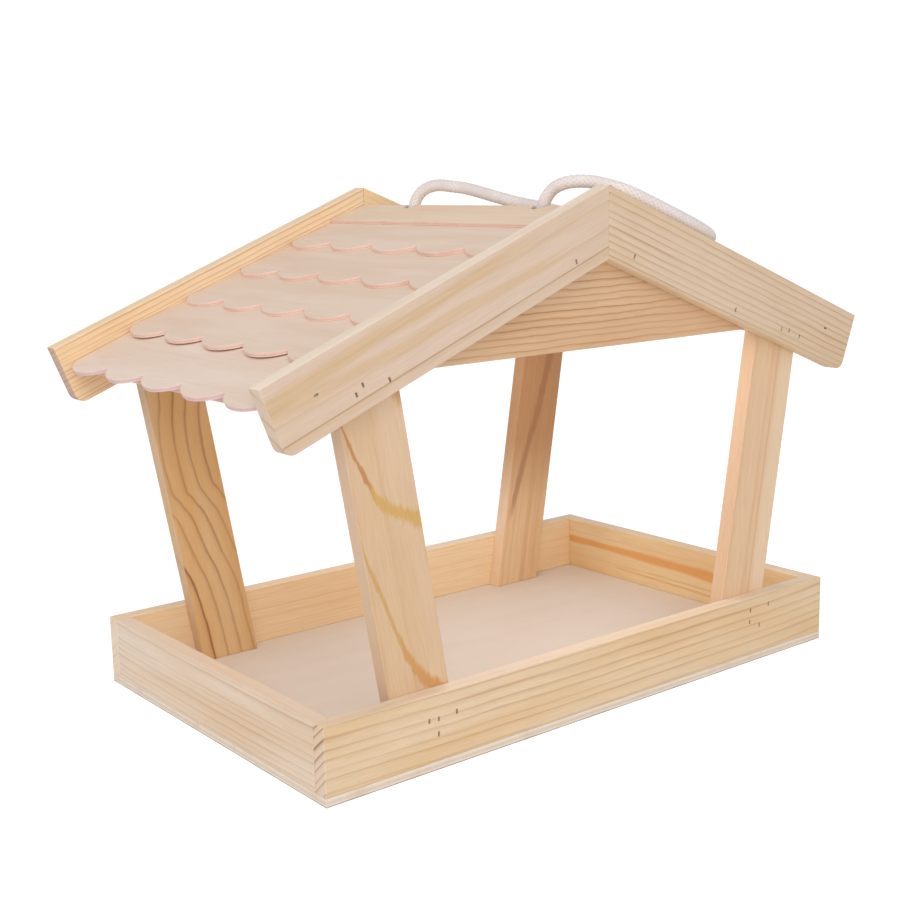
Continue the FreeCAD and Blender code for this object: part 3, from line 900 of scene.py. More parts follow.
class Brads:
    """All brads, as instances on the middles of the CAD ones."""

    KINDS = ("post_foot", "post_head", "gable", "deck")
    EASE = 0.15 * MM

    def __init__(self) -> None:
        """Read every group."""
        nodes = [f"{kind}_brads_{end.word}" for kind in self.KINDS for end in End]
        self.groups = [BradGroup(node) for node in ("base_brads", *nodes)]
        for group in self.groups:
            group.read()

    def holds(self, spot: Vector) -> bool:
        """Tell whether a point lies at the hole of any brad."""
        return any(group.holds(spot) for group in self.groups)

    def shaper(self) -> Shaper:
        """Make the tree that sets a brad on each point.

        Returns:
            The tree.
        """
        tree = Shaper("brad_row", Float=("Thin", "Long", "Wide"))
        box = tree.combine(tree.size("Thin"), tree.size("Long"), tree.size("Wide"))
        brad = tree.out("GeometryNodeMeshCube", {"Size": box})
        turn = tree.out("FunctionNodeEulerToRotation", {0: tree.recall("turn", "FLOAT_VECTOR")})
        points = tree.out("GeometryNodeMeshToPoints", {0: tree.size("Geometry")})
        inputs = {"Points": points, "Instance": brad, "Rotation": turn}
        tree.close(tree.out("GeometryNodeInstanceOnPoints", inputs), (Steel().material(), True))
        return tree

    def build(self) -> None:
        """Make and show each group."""
        tree = self.shaper()
        for group in self.groups:
            seeds = bpy.data.meshes.new(f"{group.node}_points")
            seeds.from_pydata(group.middles, [], [])
            turns = seeds.attributes.new("turn", "FLOAT_VECTOR", "POINT")
            for item, axes in zip(turns.data, group.frames):
                item.vector = axes.to_euler()
            sizes = {"Thin": group.thin, "Long": group.long, "Wide": group.wide}
            mesh = tree.grow(new_object(f"{group.node}_seeds", seeds), sizes, self.EASE)
            show(new_object(f"dressed_{group.node}", mesh), "brad_steel", group.node)


@dataclass
class Piece(ABC):
    """One wooden piece: a copy of its CAD node with eased outer edges and its own finish."""

    node: str
    place: Place
    slot: str

    EASE = 0.45
    SEAM = 2e-6
    FLAT = math.radians(1)
    SHARP = math.radians(30)

    @abstractmethod
    def coat(self, normal: Vector) -> int:
        """Give the number of the material on a face with the given normal."""

    @abstractmethod
    def materials(self) -> list[bpy.types.Material]:
        """Make the materials in the order of their numbers."""

    def eased(self, brads: Brads) -> bmesh.types.BMesh:
        """Take the CAD node's shape as one clean mesh with eased outer edges.

        Args:
            brads: the brads, whose holes keep their sharp rims.

        Returns:
            The new shape.
        """
        shape = bmesh.new()
        shape.from_mesh(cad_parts[self.node].data)
        bmesh.ops.remove_doubles(shape, verts=shape.verts, dist=self.SEAM)
        bmesh.ops.dissolve_limit(shape, angle_limit=self.FLAT, verts=shape.verts, edges=shape.edges)
        rims = {vertex for vertex in shape.verts if brads.holds(vertex.co)}
        outer = [edge for edge in shape.edges if len(edge.link_faces) == 2
                 and edge.calc_face_angle_signed(0.0) > self.SHARP and not rims.issuperset(edge.verts)]
        bmesh.ops.bevel(shape, geom=outer, offset=self.EASE * MM, offset_type="OFFSET", segments=EASE_STEPS,
                        profile=0.5, affect="EDGES", clamp_overlap=True)
        return shape

    def build(self, brads: Brads) -> None:
        """Make the piece and show it in its node's place.

        Args:
            brads: all brads.
        """
        shape = self.eased(brads)
        for face in shape.faces:
            face.material_index = self.coat(face.normal)
        mesh = bpy.data.meshes.new(f"dressed_{self.node}")
        shape.to_mesh(mesh)
        shape.free()
        for material in self.materials():
            mesh.materials.append(material)
        show(new_object(f"dressed_{self.node}", mesh), self.slot, self.node)


@dataclass
class Board(Piece):
    """A piece of pine, with sawn ends."""

    wood: Pine

    END = 0.8
    EDGE = 0.5

    def coat(self, normal: Vector) -> int:
        """Tell which kind of cut a face is.

        Args:
            normal: the face's normal.

        Returns:
            The number of the cut.
        """
        along, across, through = self.place.facing(normal)
        if along > self.END:
            return Cut.END.value
        return Cut.EDGE.value if across > max(through, self.EDGE) else Cut.FACE.value

    def materials(self) -> list[bpy.types.Material]:
        """Make the wood on each kind of cut."""
        return [self.wood.material(f"{self.node}_{cut.word}", self.place, cut) for cut in Cut]


@dataclass
class Sheet(Piece):
    """A piece of plywood, whose thickness is in millimetres: veneer faces and layered edges."""

    ply: Ply
    thick: float

    EASE = 0.25
    FACE = 0.9

    def coat(self, normal: Vector) -> int:
        """Give 0 for a face with the given normal that is veneer, and 1 for a cut edge."""
        return 0 if self.place.facing(normal)[2] > self.FACE else 1

    def materials(self) -> list[bpy.types.Material]:
        """Make the veneer and the edge."""
        return self.ply.materials(self.node, self.place, self.thick)


@dataclass
class Tray:
    """The base and the four walls.

    The front wall's lines end in slanting strokes at the corner, the back wall is warmer inside, and the left
    wall is the palest one, with wavy lines. The right wall has one thick stripe inside, and fine ones below.
    """

    THICK_WAY = ((0.0, 11.5), (0.16, 13.4), (0.24, 15.3), (0.33, 16.1), (0.56, 17.1), (1.0, 17.4))
    STRIPES = (Streak(THICK_WAY, (7.5, 5.0), (226, 161, 90), strength=0.85, ragged=1.6),
               Streak(((0.0, 3.0), (0.35, 5.0), (0.75, 6.4)), (3.2, 1.2), (222, 182, 116), strength=0.8),
               Streak(((0.0, 6.5), (0.3, 8.0), (0.6, 8.6)), (1.8, 0.9), (222, 182, 120), strength=0.6))

    slot: str = "tray_pine"
    # the base's cut edge gets painted contact shadow along its bottom
    birch: Ply = Ply(face=(221, 210, 200), tint=(219, 207, 196), streak=(215, 200, 187), edge=(238, 228, 216),
                     core=(218, 198, 178), flame=0.1, seed=90.0, scorch=0.8)
    front: Pine = Pine(pale=(232, 210, 180), tint=(229, 199, 158), line=(192, 144, 92), gap=3.5,
                       heart=(-174.0, 178.0), sway=((0.0, 0.0), (0.45, 1.4), (1.0, -1.6)), wobble=0.4,
                       wave=50.0, strength=0.65, uneven=0.4, seed=1.0)
    back: Pine = Pine(pale=(243, 216, 179), tint=(240, 209, 167), line=(214, 169, 115), end=(240, 226, 212),
                      raw=0.0, gap=2.6, heart=(150.0, -90.0), strength=0.42, wobble=0.4, seed=3.0)
    left: Pine = Pine(pale=(236, 220, 203), tint=(231, 207, 180), line=(196, 152, 120), edge=(231, 211, 190),
                      gap=3.6, heart=(-191.8, 60.0), sway=((0.0, 0.0), (0.5, 0.8), (1.0, -0.6)), wobble=0.45,
                      wave=34.0, strength=0.65, seed=2.0)
    right: Pine = Pine(pale=(237, 209, 166), tint=(234, 199, 148), line=(212, 166, 110), gap=8.0,
                       heart=(120.0, -60.0), strength=0.25, seed=4.0, streaks=STRIPES)

    def wall(self, name: str, start: Pair, along: Point, wood: Pine) -> Board:
        """Describe a wall.

        Args:
            name: which wall it is.
            start: X and Y of the corner where its length starts.
            along: the direction of its length.
            wood: its wood.

        Returns:
            The wall.
        """
        length = SIZES.width if along == RIGHTWARD else 2 * SIZES.inner
        place = Place((*start, SIZES.base), along, UPWARD, length, SIZES.strip)
        return Board(f"tray_{name}_wall", place, self.slot, wood)

    def build(self, brads: Brads) -> None:
        """Make the base and the walls.

        Args:
            brads: all brads.
        """
        half, inner = SIZES.width / 2, SIZES.inner
        floor = Place((-half, -SIZES.depth / 2, 0.0), RIGHTWARD, BACKWARD, SIZES.width, SIZES.depth)
        pieces = (Sheet("base_panel", floor, "base_plywood", self.birch, SIZES.base),
                  self.wall("front", (-half, -inner), RIGHTWARD, self.front),
                  self.wall("back", (-half, SIZES.depth / 2), RIGHTWARD, self.back),
                  self.wall("left", (-half, -inner), BACKWARD, self.left),
                  self.wall("right", (half - SIZES.thick, -inner), BACKWARD, self.right))
        for piece in pieces:
            piece.build(brads)


@dataclass
class Posts:
    """The four splayed posts, in millimetres and degrees.

    The front left one is arched, with two tall arcs that change their colour and a third above. The front
    right one is banded, paler down its right third. The back left one is swaying, with sharp brown lines
    that bend aside, and the back right one is darkened towards its head by painted shade, with a slanting
    streak. Its narrow edges are painted paler, as if lit from the left.
    """

    ARCS = (((194, 132, 74), (6.0, 7.0), ((0.0, 155.6), (0.11, 140.5), (0.2, 131.5), (0.31, 122.5))),
            ((212, 170, 94), (8.0, 9.0), ((0.31, 122.5), (0.45, 114.5), (0.64, 110.0), (0.83, 106.0),
                                          (1.0, 102.5))),
            ((206, 164, 100), (9.0, 12.0), ((0.01, 99.0), (0.07, 88.5), (0.16, 79.0), (0.22, 70.0),
                                            (0.28, 61.0), (0.37, 50.5))),
            ((210, 152, 84), (11.0, 9.0), ((0.37, 50.5), (0.49, 41.5), (0.6, 35.5), (0.75, 30.0),
                                           (1.0, 23.0))),
            ((206, 164, 100), (8.0, 16.0), ((0.5, 180.0), (0.8, 166.0), (1.0, 159.0))))
    BAND = Streak(((0.0, 27.4), (0.5, 26.6), (1.0, 26.8)), (14.0, 14.0), (236, 212, 182), strength=0.8,
                  ragged=0.2)
    RIM = Streak(((0.0, 19.8), (0.5, 18.9), (1.0, 19.3)), (1.6, 1.6), (206, 158, 112), strength=0.35,
                 ragged=0.3)
    BENDS = ((0.0, -14.0), (0.12, -13.0), (0.21, -11.0), (0.28, -7.0), (0.37, -3.3), (0.43, 2.0),
             (0.47, 5.0), (0.56, 5.7), (0.72, 0.0), (1.0, -6.0))
    SLANT = Streak(((0.25, 5.5), (0.41, 11.0), (0.52, 16.0), (0.74, 22.0), (1.0, 28.0)), (5.0, 8.0),
                   (150, 98, 60), strength=0.55, ragged=1.3, torn=0.5, fade=0.08)
    # painted shade: the upper half of the post, its narrow edges too, is darkened where the roof shades it
    HEAD_SHADE = Streak(((0.46, 15.5), (1.0, 15.5)), (160.0, 160.0), (176, 128, 84), strength=0.85, ragged=1.5,
                  fade=0.3, wraps=True)

    foot: float = 99.0
    lean: float = 9.6
    wide: float = 31.0
    long: float = 205.0
    slot: str = "post_pine"
    plain: Pine = Pine(pale=(226, 198, 169), tint=(222, 191, 156), line=(200, 152, 96), edge=(228, 200, 176),
                       gap=14.0, heart=(90.0, 40.0), strength=0.3, seed=11.0)
    arched: Pine = replace(plain, wave=9.0, wobble=0.9, streaks=tuple(
        Streak(way, widths, colour, strength=0.85, ragged=1.4, reading=Reading.ACROSS, torn=1.8)
        for colour, widths, way in ARCS))
    banded: Pine = replace(plain, pale=(231, 198, 164), tint=(228, 192, 152), edge=(226, 193, 162),
                           streaks=(BAND, RIM), seed=12.0)
    swaying: Pine = replace(plain, pale=(222, 186, 138), tint=(215, 171, 114), line=(146, 86, 38),
                            edge=(226, 196, 166), gap=7.4, heart=(-152.0, 30.0), sway=BENDS, strength=0.9,
                            uneven=0.12, wobble=0.5, wave=16.0, crisp=True, seed=13.0)
    # painted shade and light: its streak near the head is painted shade under the roof, and its pale edge
    # colour is painted light on the narrow faces lower down
    head_shaded: Pine = replace(plain, pale=(230, 197, 157), tint=(221, 182, 138), line=(192, 146, 98), gap=4.2,
                          edge=(240, 210, 180), strength=0.35, streaks=(HEAD_SHADE, SLANT), seed=14.0)

    def place(self, side: Side, end: End) -> Place:
        """Give where a post lies, with its length upwards and its width towards +X.

        Args:
            side: its slope.
            end: its gable.

        Returns:
            The place.
        """
        down, along = slope_axes(side, math.radians(self.lean))
        across = down * side.value
        front = -SIZES.inner if end is End.FRONT else SIZES.inner - SIZES.thick
        middle = Vector((side.value * self.foot, front, SIZES.base))
        return Place(middle - across * self.wide / 2, along, across, self.long, self.wide)

    def build(self, brads: Brads) -> None:
        """Make the four posts.

        Args:
            brads: all brads.
        """
        woods = {(Side.LEFT, End.FRONT): self.arched, (Side.RIGHT, End.FRONT): self.banded,
                 (Side.LEFT, End.BACK): self.swaying, (Side.RIGHT, End.BACK): self.head_shaded}
        for (side, end), wood in woods.items():
            Board(f"post_{end.word}_{side.word}", self.place(side, end), self.slot, wood).build(brads)


@dataclass
class Gables:
    """The gable panels and the bargeboards over them, in millimetres.

    The panels' wood is wavy. That of the bargeboards is soft at the front left, fine at the front right,
    bright at the back left and calm at the back right.
    """

    HIGH_WAY = ((0.4, 25.6), (0.5, 25.0), (0.6, 23.8), (0.7, 24.4), (0.8, 23.2), (0.9, 22.4), (1.0, 21.2))
    LOW_WAY = ((0.3, 13.8), (0.42, 14.4), (0.53, 15.6), (0.64, 14.8), (0.75, 15.8), (0.87, 16.6), (1.0, 17.8))
    SEAM_WAY = ((0.0, 5.2), (0.5, 5.0), (1.0, 4.8))
    WAVES = (Streak(HIGH_WAY, (6.0, 8.0), (210, 176, 124), strength=0.5, ragged=1.4, fade=0.2),
             Streak(LOW_WAY, (6.0, 7.0), (211, 178, 128), strength=0.45, ragged=1.4, fade=0.2),
             Streak(SEAM_WAY, (0.9, 0.9), (168, 130, 88), strength=0.55, ragged=0.15))

    panel_low: float = 170.0
    panel_half: float = 111.2
    panel_high: float = 56.0
    slope: float = 193.5
    panel_seed: float = 21.0
    wavy: Pine = Pine(pale=(224, 190, 157), tint=(220, 182, 145), line=(180, 128, 70), gap=2.9,
                      heart=(-120.0, 60.0), wobble=0.65, wave=26.0, strength=1.0, uneven=0.15)
    # painted highlight: the pale edge colour stands for the light falling on the bargeboard's top face
    soft: Pine = Pine(pale=(225, 203, 186), tint=(222, 198, 175), line=(206, 174, 130), edge=(248, 234, 218),
                      raw=0.1, gap=8.5, heart=(-60.0, 55.0), wobble=0.9, wave=60.0, strength=0.5, seed=22.0,
                      streaks=WAVES)
    # painted light: the pale edge colour stands for floor bounce lighting the bargeboard's underside
    fine: Pine = Pine(pale=(225, 203, 180), tint=(221, 196, 166), line=(184, 138, 90), edge=(248, 224, 190),
                      gap=3.1, heart=(-210.0, 70.0), wobble=0.35, wave=40.0, strength=0.75, uneven=0.3,
                      seed=23.0, ticks=2.6)
    # painted shade: the dark end colour stands for the shadow on the end that faces away from the light
    bright: Pine = Pine(pale=(247, 222, 188), tint=(244, 212, 168), line=(198, 140, 84), edge=(245, 222, 190),
                        end=(196, 172, 158), raw=0.2, gap=2.1, heart=(-190.0, -60.0), wobble=0.3, wave=30.0,
                        strength=0.85, uneven=0.4, seed=24.0)
    # keeps the bright board's dark end colour, which is painted shade
    calm: Pine = replace(bright, pale=(249, 222, 180), tint=(246, 214, 166), strength=0.2, seed=25.0)

    def panel(self, end: End) -> Board:
        """Describe a gable panel.

        Args:
            end: its gable.

        Returns:
            The panel.
        """
        back = -SIZES.inner + SIZES.thick if end is End.FRONT else SIZES.inner
        corner = (-self.panel_half, back, self.panel_low)
        place = Place(corner, RIGHTWARD, UPWARD, 2 * self.panel_half, self.panel_high)
        wood = replace(self.wavy, seed=self.panel_seed + end.value)
        return Board(f"gable_panel_{end.word}", place, "gable_pine", wood)

    def bargeboard(self, side: Side, end: End, wood: Pine) -> Board:
        """Describe a bargeboard, with its length down the slope and its width up from the lower edge.

        Args:
            side: its slope.
            end: its gable.
            wood: its wood.

        Returns:
            The bargeboard.
        """
        faces = (-SIZES.depth / 2, -SIZES.inner) if end is End.FRONT else (SIZES.inner, SIZES.depth / 2)
        down, out = slope_axes(side, SIZES.slope)
        start = Vector((0.0, faces[0] if side is Side.LEFT else faces[1], SIZES.ridge)) - out * SIZES.strip
        place = Place(start, down, out, self.slope, SIZES.strip)
        return Board(f"bargeboard_{end.word}_{side.word}", place, "bargeboard_pine", wood)

    def build(self, brads: Brads) -> None:
        """Make the panels and the bargeboards.

        Args:
            brads: all brads.
        """
        woods = {(Side.LEFT, End.FRONT): self.soft, (Side.RIGHT, End.FRONT): self.fine,
                 (Side.LEFT, End.BACK): self.bright, (Side.RIGHT, End.BACK): self.calm}
        boards = [self.panel(end) for end in End]
        boards += [self.bargeboard(side, end, wood) for (side, end), wood in woods.items()]
        for board in boards:
            board.build(brads)


@dataclass
class Roof:
    """Decks, scalloped shingle courses and ridge strips, in millimetres."""

    shingle: float = 2.0
    drop: float = 12.0
    deck: float = 3.0
    deck_reach: float = 187.0
    start: float = 11.0
    lap: float = 8.0
    step: float = 33.4
    courses: int = 5
    scallops: int = 5
    scallop_depth: float = 8.0
    strip: float = 23.0
    gap: float = 0.2
    rows: int = 6
    columns: int = 20
    ease: float = 0.2
    slot: str = "shingle_plywood"
    veneer: Ply = Ply()
    eave: Ply = Ply(face=(240, 222, 210), tint=(235, 214, 199), edge=(236, 210, 210), core=(218, 176, 178))
    warm: Ply = Ply(face=(238, 217, 194), tint=(234, 208, 183))

    COURSE_SEED = 3.7
    SIDE_SEED = 40
    DECK_SEED = 70.0
    STRIP_SEED = 80.0
    UPRIGHT = 0.5

    @property
    def tilt(self) -> float:
        """Slope of the lapped courses, in radians."""
        return SIZES.slope - math.asin(self.shingle / self.step)

    @property
    def span(self) -> float:
        """Length of a course along the ridge."""
        return 2 * (SIZES.inner - self.gap)

    @property
    def reach(self) -> float:
        """Width of a course from its upper edge to the cusps between its scallops."""
        return self.step + self.lap

    def top_edge(self, side: Side, course: int) -> Vector:
        """Find the middle of a course's upper edge, where it starts on the deck.

        Args:
            side: its slope.
            course: its number from the eave, which is 0.

        Returns:
            The point, in millimetres.
        """
        distance = self.start + (self.courses - 1 - course) * self.step
        down, out = slope_axes(side, SIZES.slope)
        return Vector((0.0, 0.0, SIZES.ridge)) + down * distance - out * self.drop

    def arc(self, tree: Shaper, along: Socket) -> Socket:
        """Work out how far the scallops reach past their cusps.

        Args:
            tree: the course's tree.
            along: the share of the course's length.

        Returns:
            The distance, in metres.
        """
        depth = tree.size("Depth")
        half = tree.math("DIVIDE", tree.size("Width"), tree.product(tree.size("Scallops"), 2.0))
        squares = tree.total(tree.product(half, half), tree.product(depth, depth))
        radius = tree.math("DIVIDE", squares, tree.product(depth, 2.0))
        turn = tree.math("FRACT", tree.product(along, tree.size("Scallops")))
        off = tree.product(tree.math("MULTIPLY_ADD", turn, 2.0, -1.0), half)
        inside = tree.math("SUBTRACT", tree.product(radius, radius), tree.product(off, off))
        bow = tree.math("SQRT", tree.math("MAXIMUM", inside, 0.0))
        return tree.math("MAXIMUM", tree.math("SUBTRACT", bow, tree.math("SUBTRACT", radius, depth)), 0.0)

    def shaper(self) -> Shaper:
        """Make the tree of a course: a strip whose lower edge is a row of arcs.

        Returns:
            The tree.
        """
        tree = Shaper("scalloped_course", Float=("Width", "Reach", "Depth", "Thickness"),
                      Int=("Scallops", "Columns"), Material=("Face", "Edge"))
        count = tree.math("MULTIPLY_ADD", tree.size("Scallops"), tree.size("Columns"), 1.0)
        inputs = {"Size X": 1.0, "Size Y": 1.0, "Vertices X": self.rows, "Vertices Y": count}
        grid = tree.out("GeometryNodeMeshGrid", inputs)
        x, y, _ = tree.parts(tree.out("GeometryNodeInputPosition"))
        reach = tree.total(tree.size("Reach"), self.arc(tree, tree.math("ADD", y, 0.5)))
        below = tree.product(tree.math("ADD", x, 0.5), reach)
        spot = tree.combine(below, tree.product(y, tree.size("Width")), 0.0)
        under = tree.out("GeometryNodeSetPosition", {"Geometry": grid, "Position": spot})
        rise = tree.combine(0.0, 0.0, tree.size("Thickness"))
        inputs = {"Mesh": under, "Offset": rise, "Offset Scale": 1.0, "Individual": False}
        both = tree.add("GeometryNodeJoinGeometry")
        raised = tree.out("GeometryNodeExtrudeMesh", inputs)
        for part in (raised, tree.out("GeometryNodeFlipFaces", {0: under})):
            tree.feed(both.inputs[0], part)
        whole = tree.out("GeometryNodeMergeByDistance", {0: both.outputs[0], "Distance": JOIN})
        lift = tree.parts(tree.out("GeometryNodeInputNormal"))[2]
        upright = tree.math("LESS_THAN", tree.math("ABSOLUTE", lift), self.UPRIGHT)
        tree.close(whole, (tree.size("Face"), True), (tree.size("Edge"), upright))
        return tree

    def build_course(self, tree: Shaper, side: Side, course: int) -> None:
        """Make and show one shingle course.

        Args:
            tree: the courses' tree.
            side: its slope.
            course: its number from the eave, which is 0.
        """
        node = f"shingle_{side.word}_{course + 1}"
        lowest = course == 0
        down, out = slope_axes(side, SIZES.slope if lowest else self.tilt)
        back = out.cross(down)
        corner = self.top_edge(side, course)
        place = Place(corner, back, -down, self.span, self.reach)
        seed = self.COURSE_SEED * course + self.SIDE_SEED * side.value
        ply = replace(self.eave if lowest else self.veneer, seed=seed)
        face, edge = ply.materials(node, place, self.shingle)
        sizes = {"Width": self.span * MM, "Reach": self.reach * MM, "Depth": self.scallop_depth * MM,
                 "Thickness": self.shingle * MM, "Scallops": self.scallops, "Columns": self.columns,
                 "Face": face, "Edge": edge}
        carrier = new_object(f"{node}_seed", bpy.data.meshes.new(f"{node}_seed"))
        mesh = tree.grow(carrier, sizes, self.ease * MM)
        axes = Matrix((down, back, out)).transposed().to_4x4()
        mesh.transform(Matrix.Translation(corner * MM) @ axes)
        show(new_object(f"dressed_{node}", mesh), self.slot, node)

    def sheets(self, side: Side) -> list[Sheet]:
        """Describe the deck and the ridge strip of a slope.

        Args:
            side: the slope.

        Returns:
            Both sheets.
        """
        down, out = slope_axes(side, SIZES.slope)
        under = Vector((0.0, -SIZES.inner, SIZES.ridge)) - out * (self.drop + self.deck)
        deck = Place(under, BACKWARD, down * -side.value, 2 * SIZES.inner, self.deck_reach)
        top = self.top_edge(side, self.courses - 1)
        ridge = top.z + abs(top.x) * math.tan(self.tilt) + self.shingle / math.cos(self.tilt)
        across = slope_axes(side, self.tilt)[0] * -side.value
        cap = Place((0.0, -SIZES.inner, ridge), BACKWARD, across, self.span, self.strip)
        plain = replace(self.veneer, seed=self.DECK_SEED + side.value)
        warm = replace(self.warm, seed=self.STRIP_SEED + side.value)
        return [Sheet(f"roof_deck_{side.word}", deck, "deck_plywood", plain, self.deck),
                Sheet(f"ridge_strip_{side.word}", cap, self.slot, warm, self.shingle)]

    def build(self, brads: Brads) -> None:
        """Make the decks, the courses and the ridge strips.

        Args:
            brads: all brads.
        """
        tree = self.shaper()
        for side in Side:
            for sheet in self.sheets(side):
                sheet.build(brads)
            for course in range(self.courses):
                self.build_course(tree, side, course)


@dataclass
class RopeLoop:
    """The braided hanging rope and its stopper knots, in metres."""

    diameter: float = 0.006
    length: float = 0.308
    strands: int = 8
    turn: float = 0.022
    relief: float = 0.0002
    step: float = 0.0004
    sides: int = 64
    knot_middle: float = 0.21837
    knot_coil: float = 0.0043
    knot_tuck: float = 0.55
    knot_wound: float = 0.0078
    knot_turns: int = 2
    wrap_radius: float = 0.0026
    stem_radius: float = 0.0028
    slot: str = "rope_cotton"

    ROUTE = (
        (0.0000, 0.0455, 0.2247), (0.0000, 0.0455, 0.2314), (0.0011, 0.0410, 0.2395),
        (0.0046, 0.0324, 0.2431), (0.0058, 0.0189, 0.2418), (0.0076, 0.0102, 0.2409),
        (0.0098, -0.0062, 0.2372), (0.0124, -0.0218, 0.2337), (0.0180, -0.0352, 0.2312),
        (0.0290, -0.0449, 0.2271), (0.0430, -0.0507, 0.2217), (0.0580, -0.0538, 0.2160),
        (0.0710, -0.0583, 0.2117), (0.0800, -0.0672, 0.2106), (0.0825, -0.0792, 0.2128),
        (0.0760, -0.0894, 0.2165), (0.0630, -0.0928, 0.2212), (0.0470, -0.0930, 0.2273),
        (0.0310, -0.0919, 0.2337), (0.0200, -0.0887, 0.2388), (0.0139, -0.0821, 0.2417),
        (0.0110, -0.0731, 0.2436), (0.0046, -0.0650, 0.2435), (0.0016, -0.0572, 0.2401),
        (0.0000, -0.0525, 0.2314), (0.0000, -0.0525, 0.2247),
    )
    STEM = ((0.0003, 0.0002, 0.218), (-0.0003, 0.0, 0.21), (0.0004, 0.0003, 0.2035))
    WRAP_STEPS = 10
    LINE_ORDER = 3
    LINE_STEPS = 16

    def curve(self, name: str, points: Sequence[Point]) -> bpy.types.Object:
        """Draw a smooth open line.

        Args:
            name: its name.
            points: its control points.

        Returns:
            The line.
        """
        data = bpy.data.curves.new(name, "CURVE")
        data.dimensions = "3D"
        data.resolution_u = self.LINE_STEPS
        spline = data.splines.new("NURBS")
        spline.points.add(len(points) - 1)
        for item, point in zip(spline.points, points):
            item.co = (*point, 1.0)
        spline.order_u = self.LINE_ORDER
        spline.use_endpoint_u = True
        return new_object(name, data)

    def weave(self, tree: Shaper) -> Socket:
        """Work out the height of the crossing strands.

        Args:
            tree: the braid's tree.

        Returns:
            The height, from 0 between the strands to 1 on their crowns.
        """
        around = tree.product(tree.recall("round"), tree.size("Strands"))
        ahead = tree.product(tree.math("DIVIDE", tree.recall("run"), tree.size("Turn")), tree.size("Strands"))
        crowns, swings = [], []
        for way in (tree.math("ADD", around, ahead), tree.math("SUBTRACT", around, ahead)):
            off = tree.math("MULTIPLY_ADD", tree.math("FRACT", way), 2.0, -1.0)
            crowns.append(tree.math("SUBTRACT", 1.0, tree.product(off, off)))
            swings.append(tree.math("SINE", tree.product(way, math.pi)))
        over = tree.product(*swings)
        first = tree.product(crowns[0], tree.math("ADD", 1.0, over))
        second = tree.product(crowns[1], tree.math("SUBTRACT", 1.0, over))
        return tree.product(tree.math("MAXIMUM", first, second), 0.5)

    def shaper(self) -> Shaper:
        """Make the tree that lays a braid of crossing strands round a line.

        Returns:
            The tree.
        """
        tree = Shaper("braid", Float=("Radius", "Relief", "Turn", "Step"), Int=("Strands", "Sides"))
        inputs = {"Curve": tree.size("Geometry"), "Length": tree.size("Step")}
        line = tree.out("GeometryNodeResampleCurve", inputs, mode="LENGTH")
        run = tree.add("GeometryNodeSplineParameter").outputs
        line = tree.store(line, "run", run["Length"])
        core = tree.math("SUBTRACT", tree.size("Radius"), tree.size("Relief"))
        inputs = {"Resolution": tree.size("Sides"), "Radius": core}
        ring = tree.out("GeometryNodeCurvePrimitiveCircle", inputs, mode="RADIUS")
        ring = tree.store(ring, "round", run["Factor"])
        tube = tree.out("GeometryNodeCurveToMesh", {"Curve": line, "Profile Curve": ring, "Fill Caps": True})
        tube = tree.store(tube, "rise", self.weave(tree))
        height = tree.product(tree.recall("rise"), tree.size("Relief"))
        inputs = {0: tree.out("GeometryNodeInputNormal"), "Scale": height}
        lift = tree.out("ShaderNodeVectorMath", inputs, operation="SCALE")
        tube = tree.out("GeometryNodeSetPosition", {"Geometry": tube, "Offset": lift})
        tree.close(tree.out("GeometryNodeSetShadeSmooth", {0: tube}), (Cotton().material(), True))
        return tree

    def braid(self, tree: Shaper, name: str, points: Sequence[Point], radius: float) -> bpy.types.Mesh:
        """Lay the braid along a line of control points."""
        sizes = {"Radius": radius, "Relief": self.relief, "Turn": self.turn, "Strands": self.strands,
                 "Step": self.step, "Sides": self.sides}
        return tree.grow(self.curve(name, points), sizes)

    def knot(self, tree: Shaper, end: End) -> bpy.types.Object:
        """Tie a stopper: the rope's end wound twice round the rope, with a short tail below.

        Args:
            tree: the braid's tree.
            end: which rope end it is on.

        Returns:
            The knot's piece.
        """
        name = f"rope_knot_{end.word}"
        _, y, top = self.ROUTE[0] if end is End.BACK else self.ROUTE[-1]
        steps = self.WRAP_STEPS * self.knot_turns
        wrap = []
        for index in range(steps + 1):
            share = index / steps
            angle = 2 * math.pi * self.knot_turns * share
            reach = self.knot_coil * (self.knot_tuck if index in (0, steps) else 1.0)
            height = self.knot_middle + self.knot_wound * (0.5 - share)
            wrap.append((reach * math.cos(angle), y + reach * math.sin(angle), height))
        stem = [(0.0, y, top), *((x, y + aside, height) for x, aside, height in self.STEM)]
        whole = self.braid(tree, f"{name}_wrap", wrap, self.wrap_radius)
        joined = bmesh.new()
        joined.from_mesh(whole)
        joined.from_mesh(self.braid(tree, f"{name}_stem", stem, self.stem_radius))
        joined.to_mesh(whole)
        joined.free()
        return show(new_object(f"dressed_{name}", whole), self.slot, name)

    def build(self) -> None:
        line = self.curve("rope_line", self.ROUTE)
        traced = plain_mesh(line)
        bpy.data.meshes.remove(traced)
        bpy.data.objects.remove(line)
        tree = self.shaper()
        mesh = self.braid(tree, "rope_braid", self.ROUTE, self.diameter / 2)
        rope = show(new_object("dressed_rope_loop", mesh), self.slot, "rope_loop")
        knots = [self.knot(tree, end) for end in End]


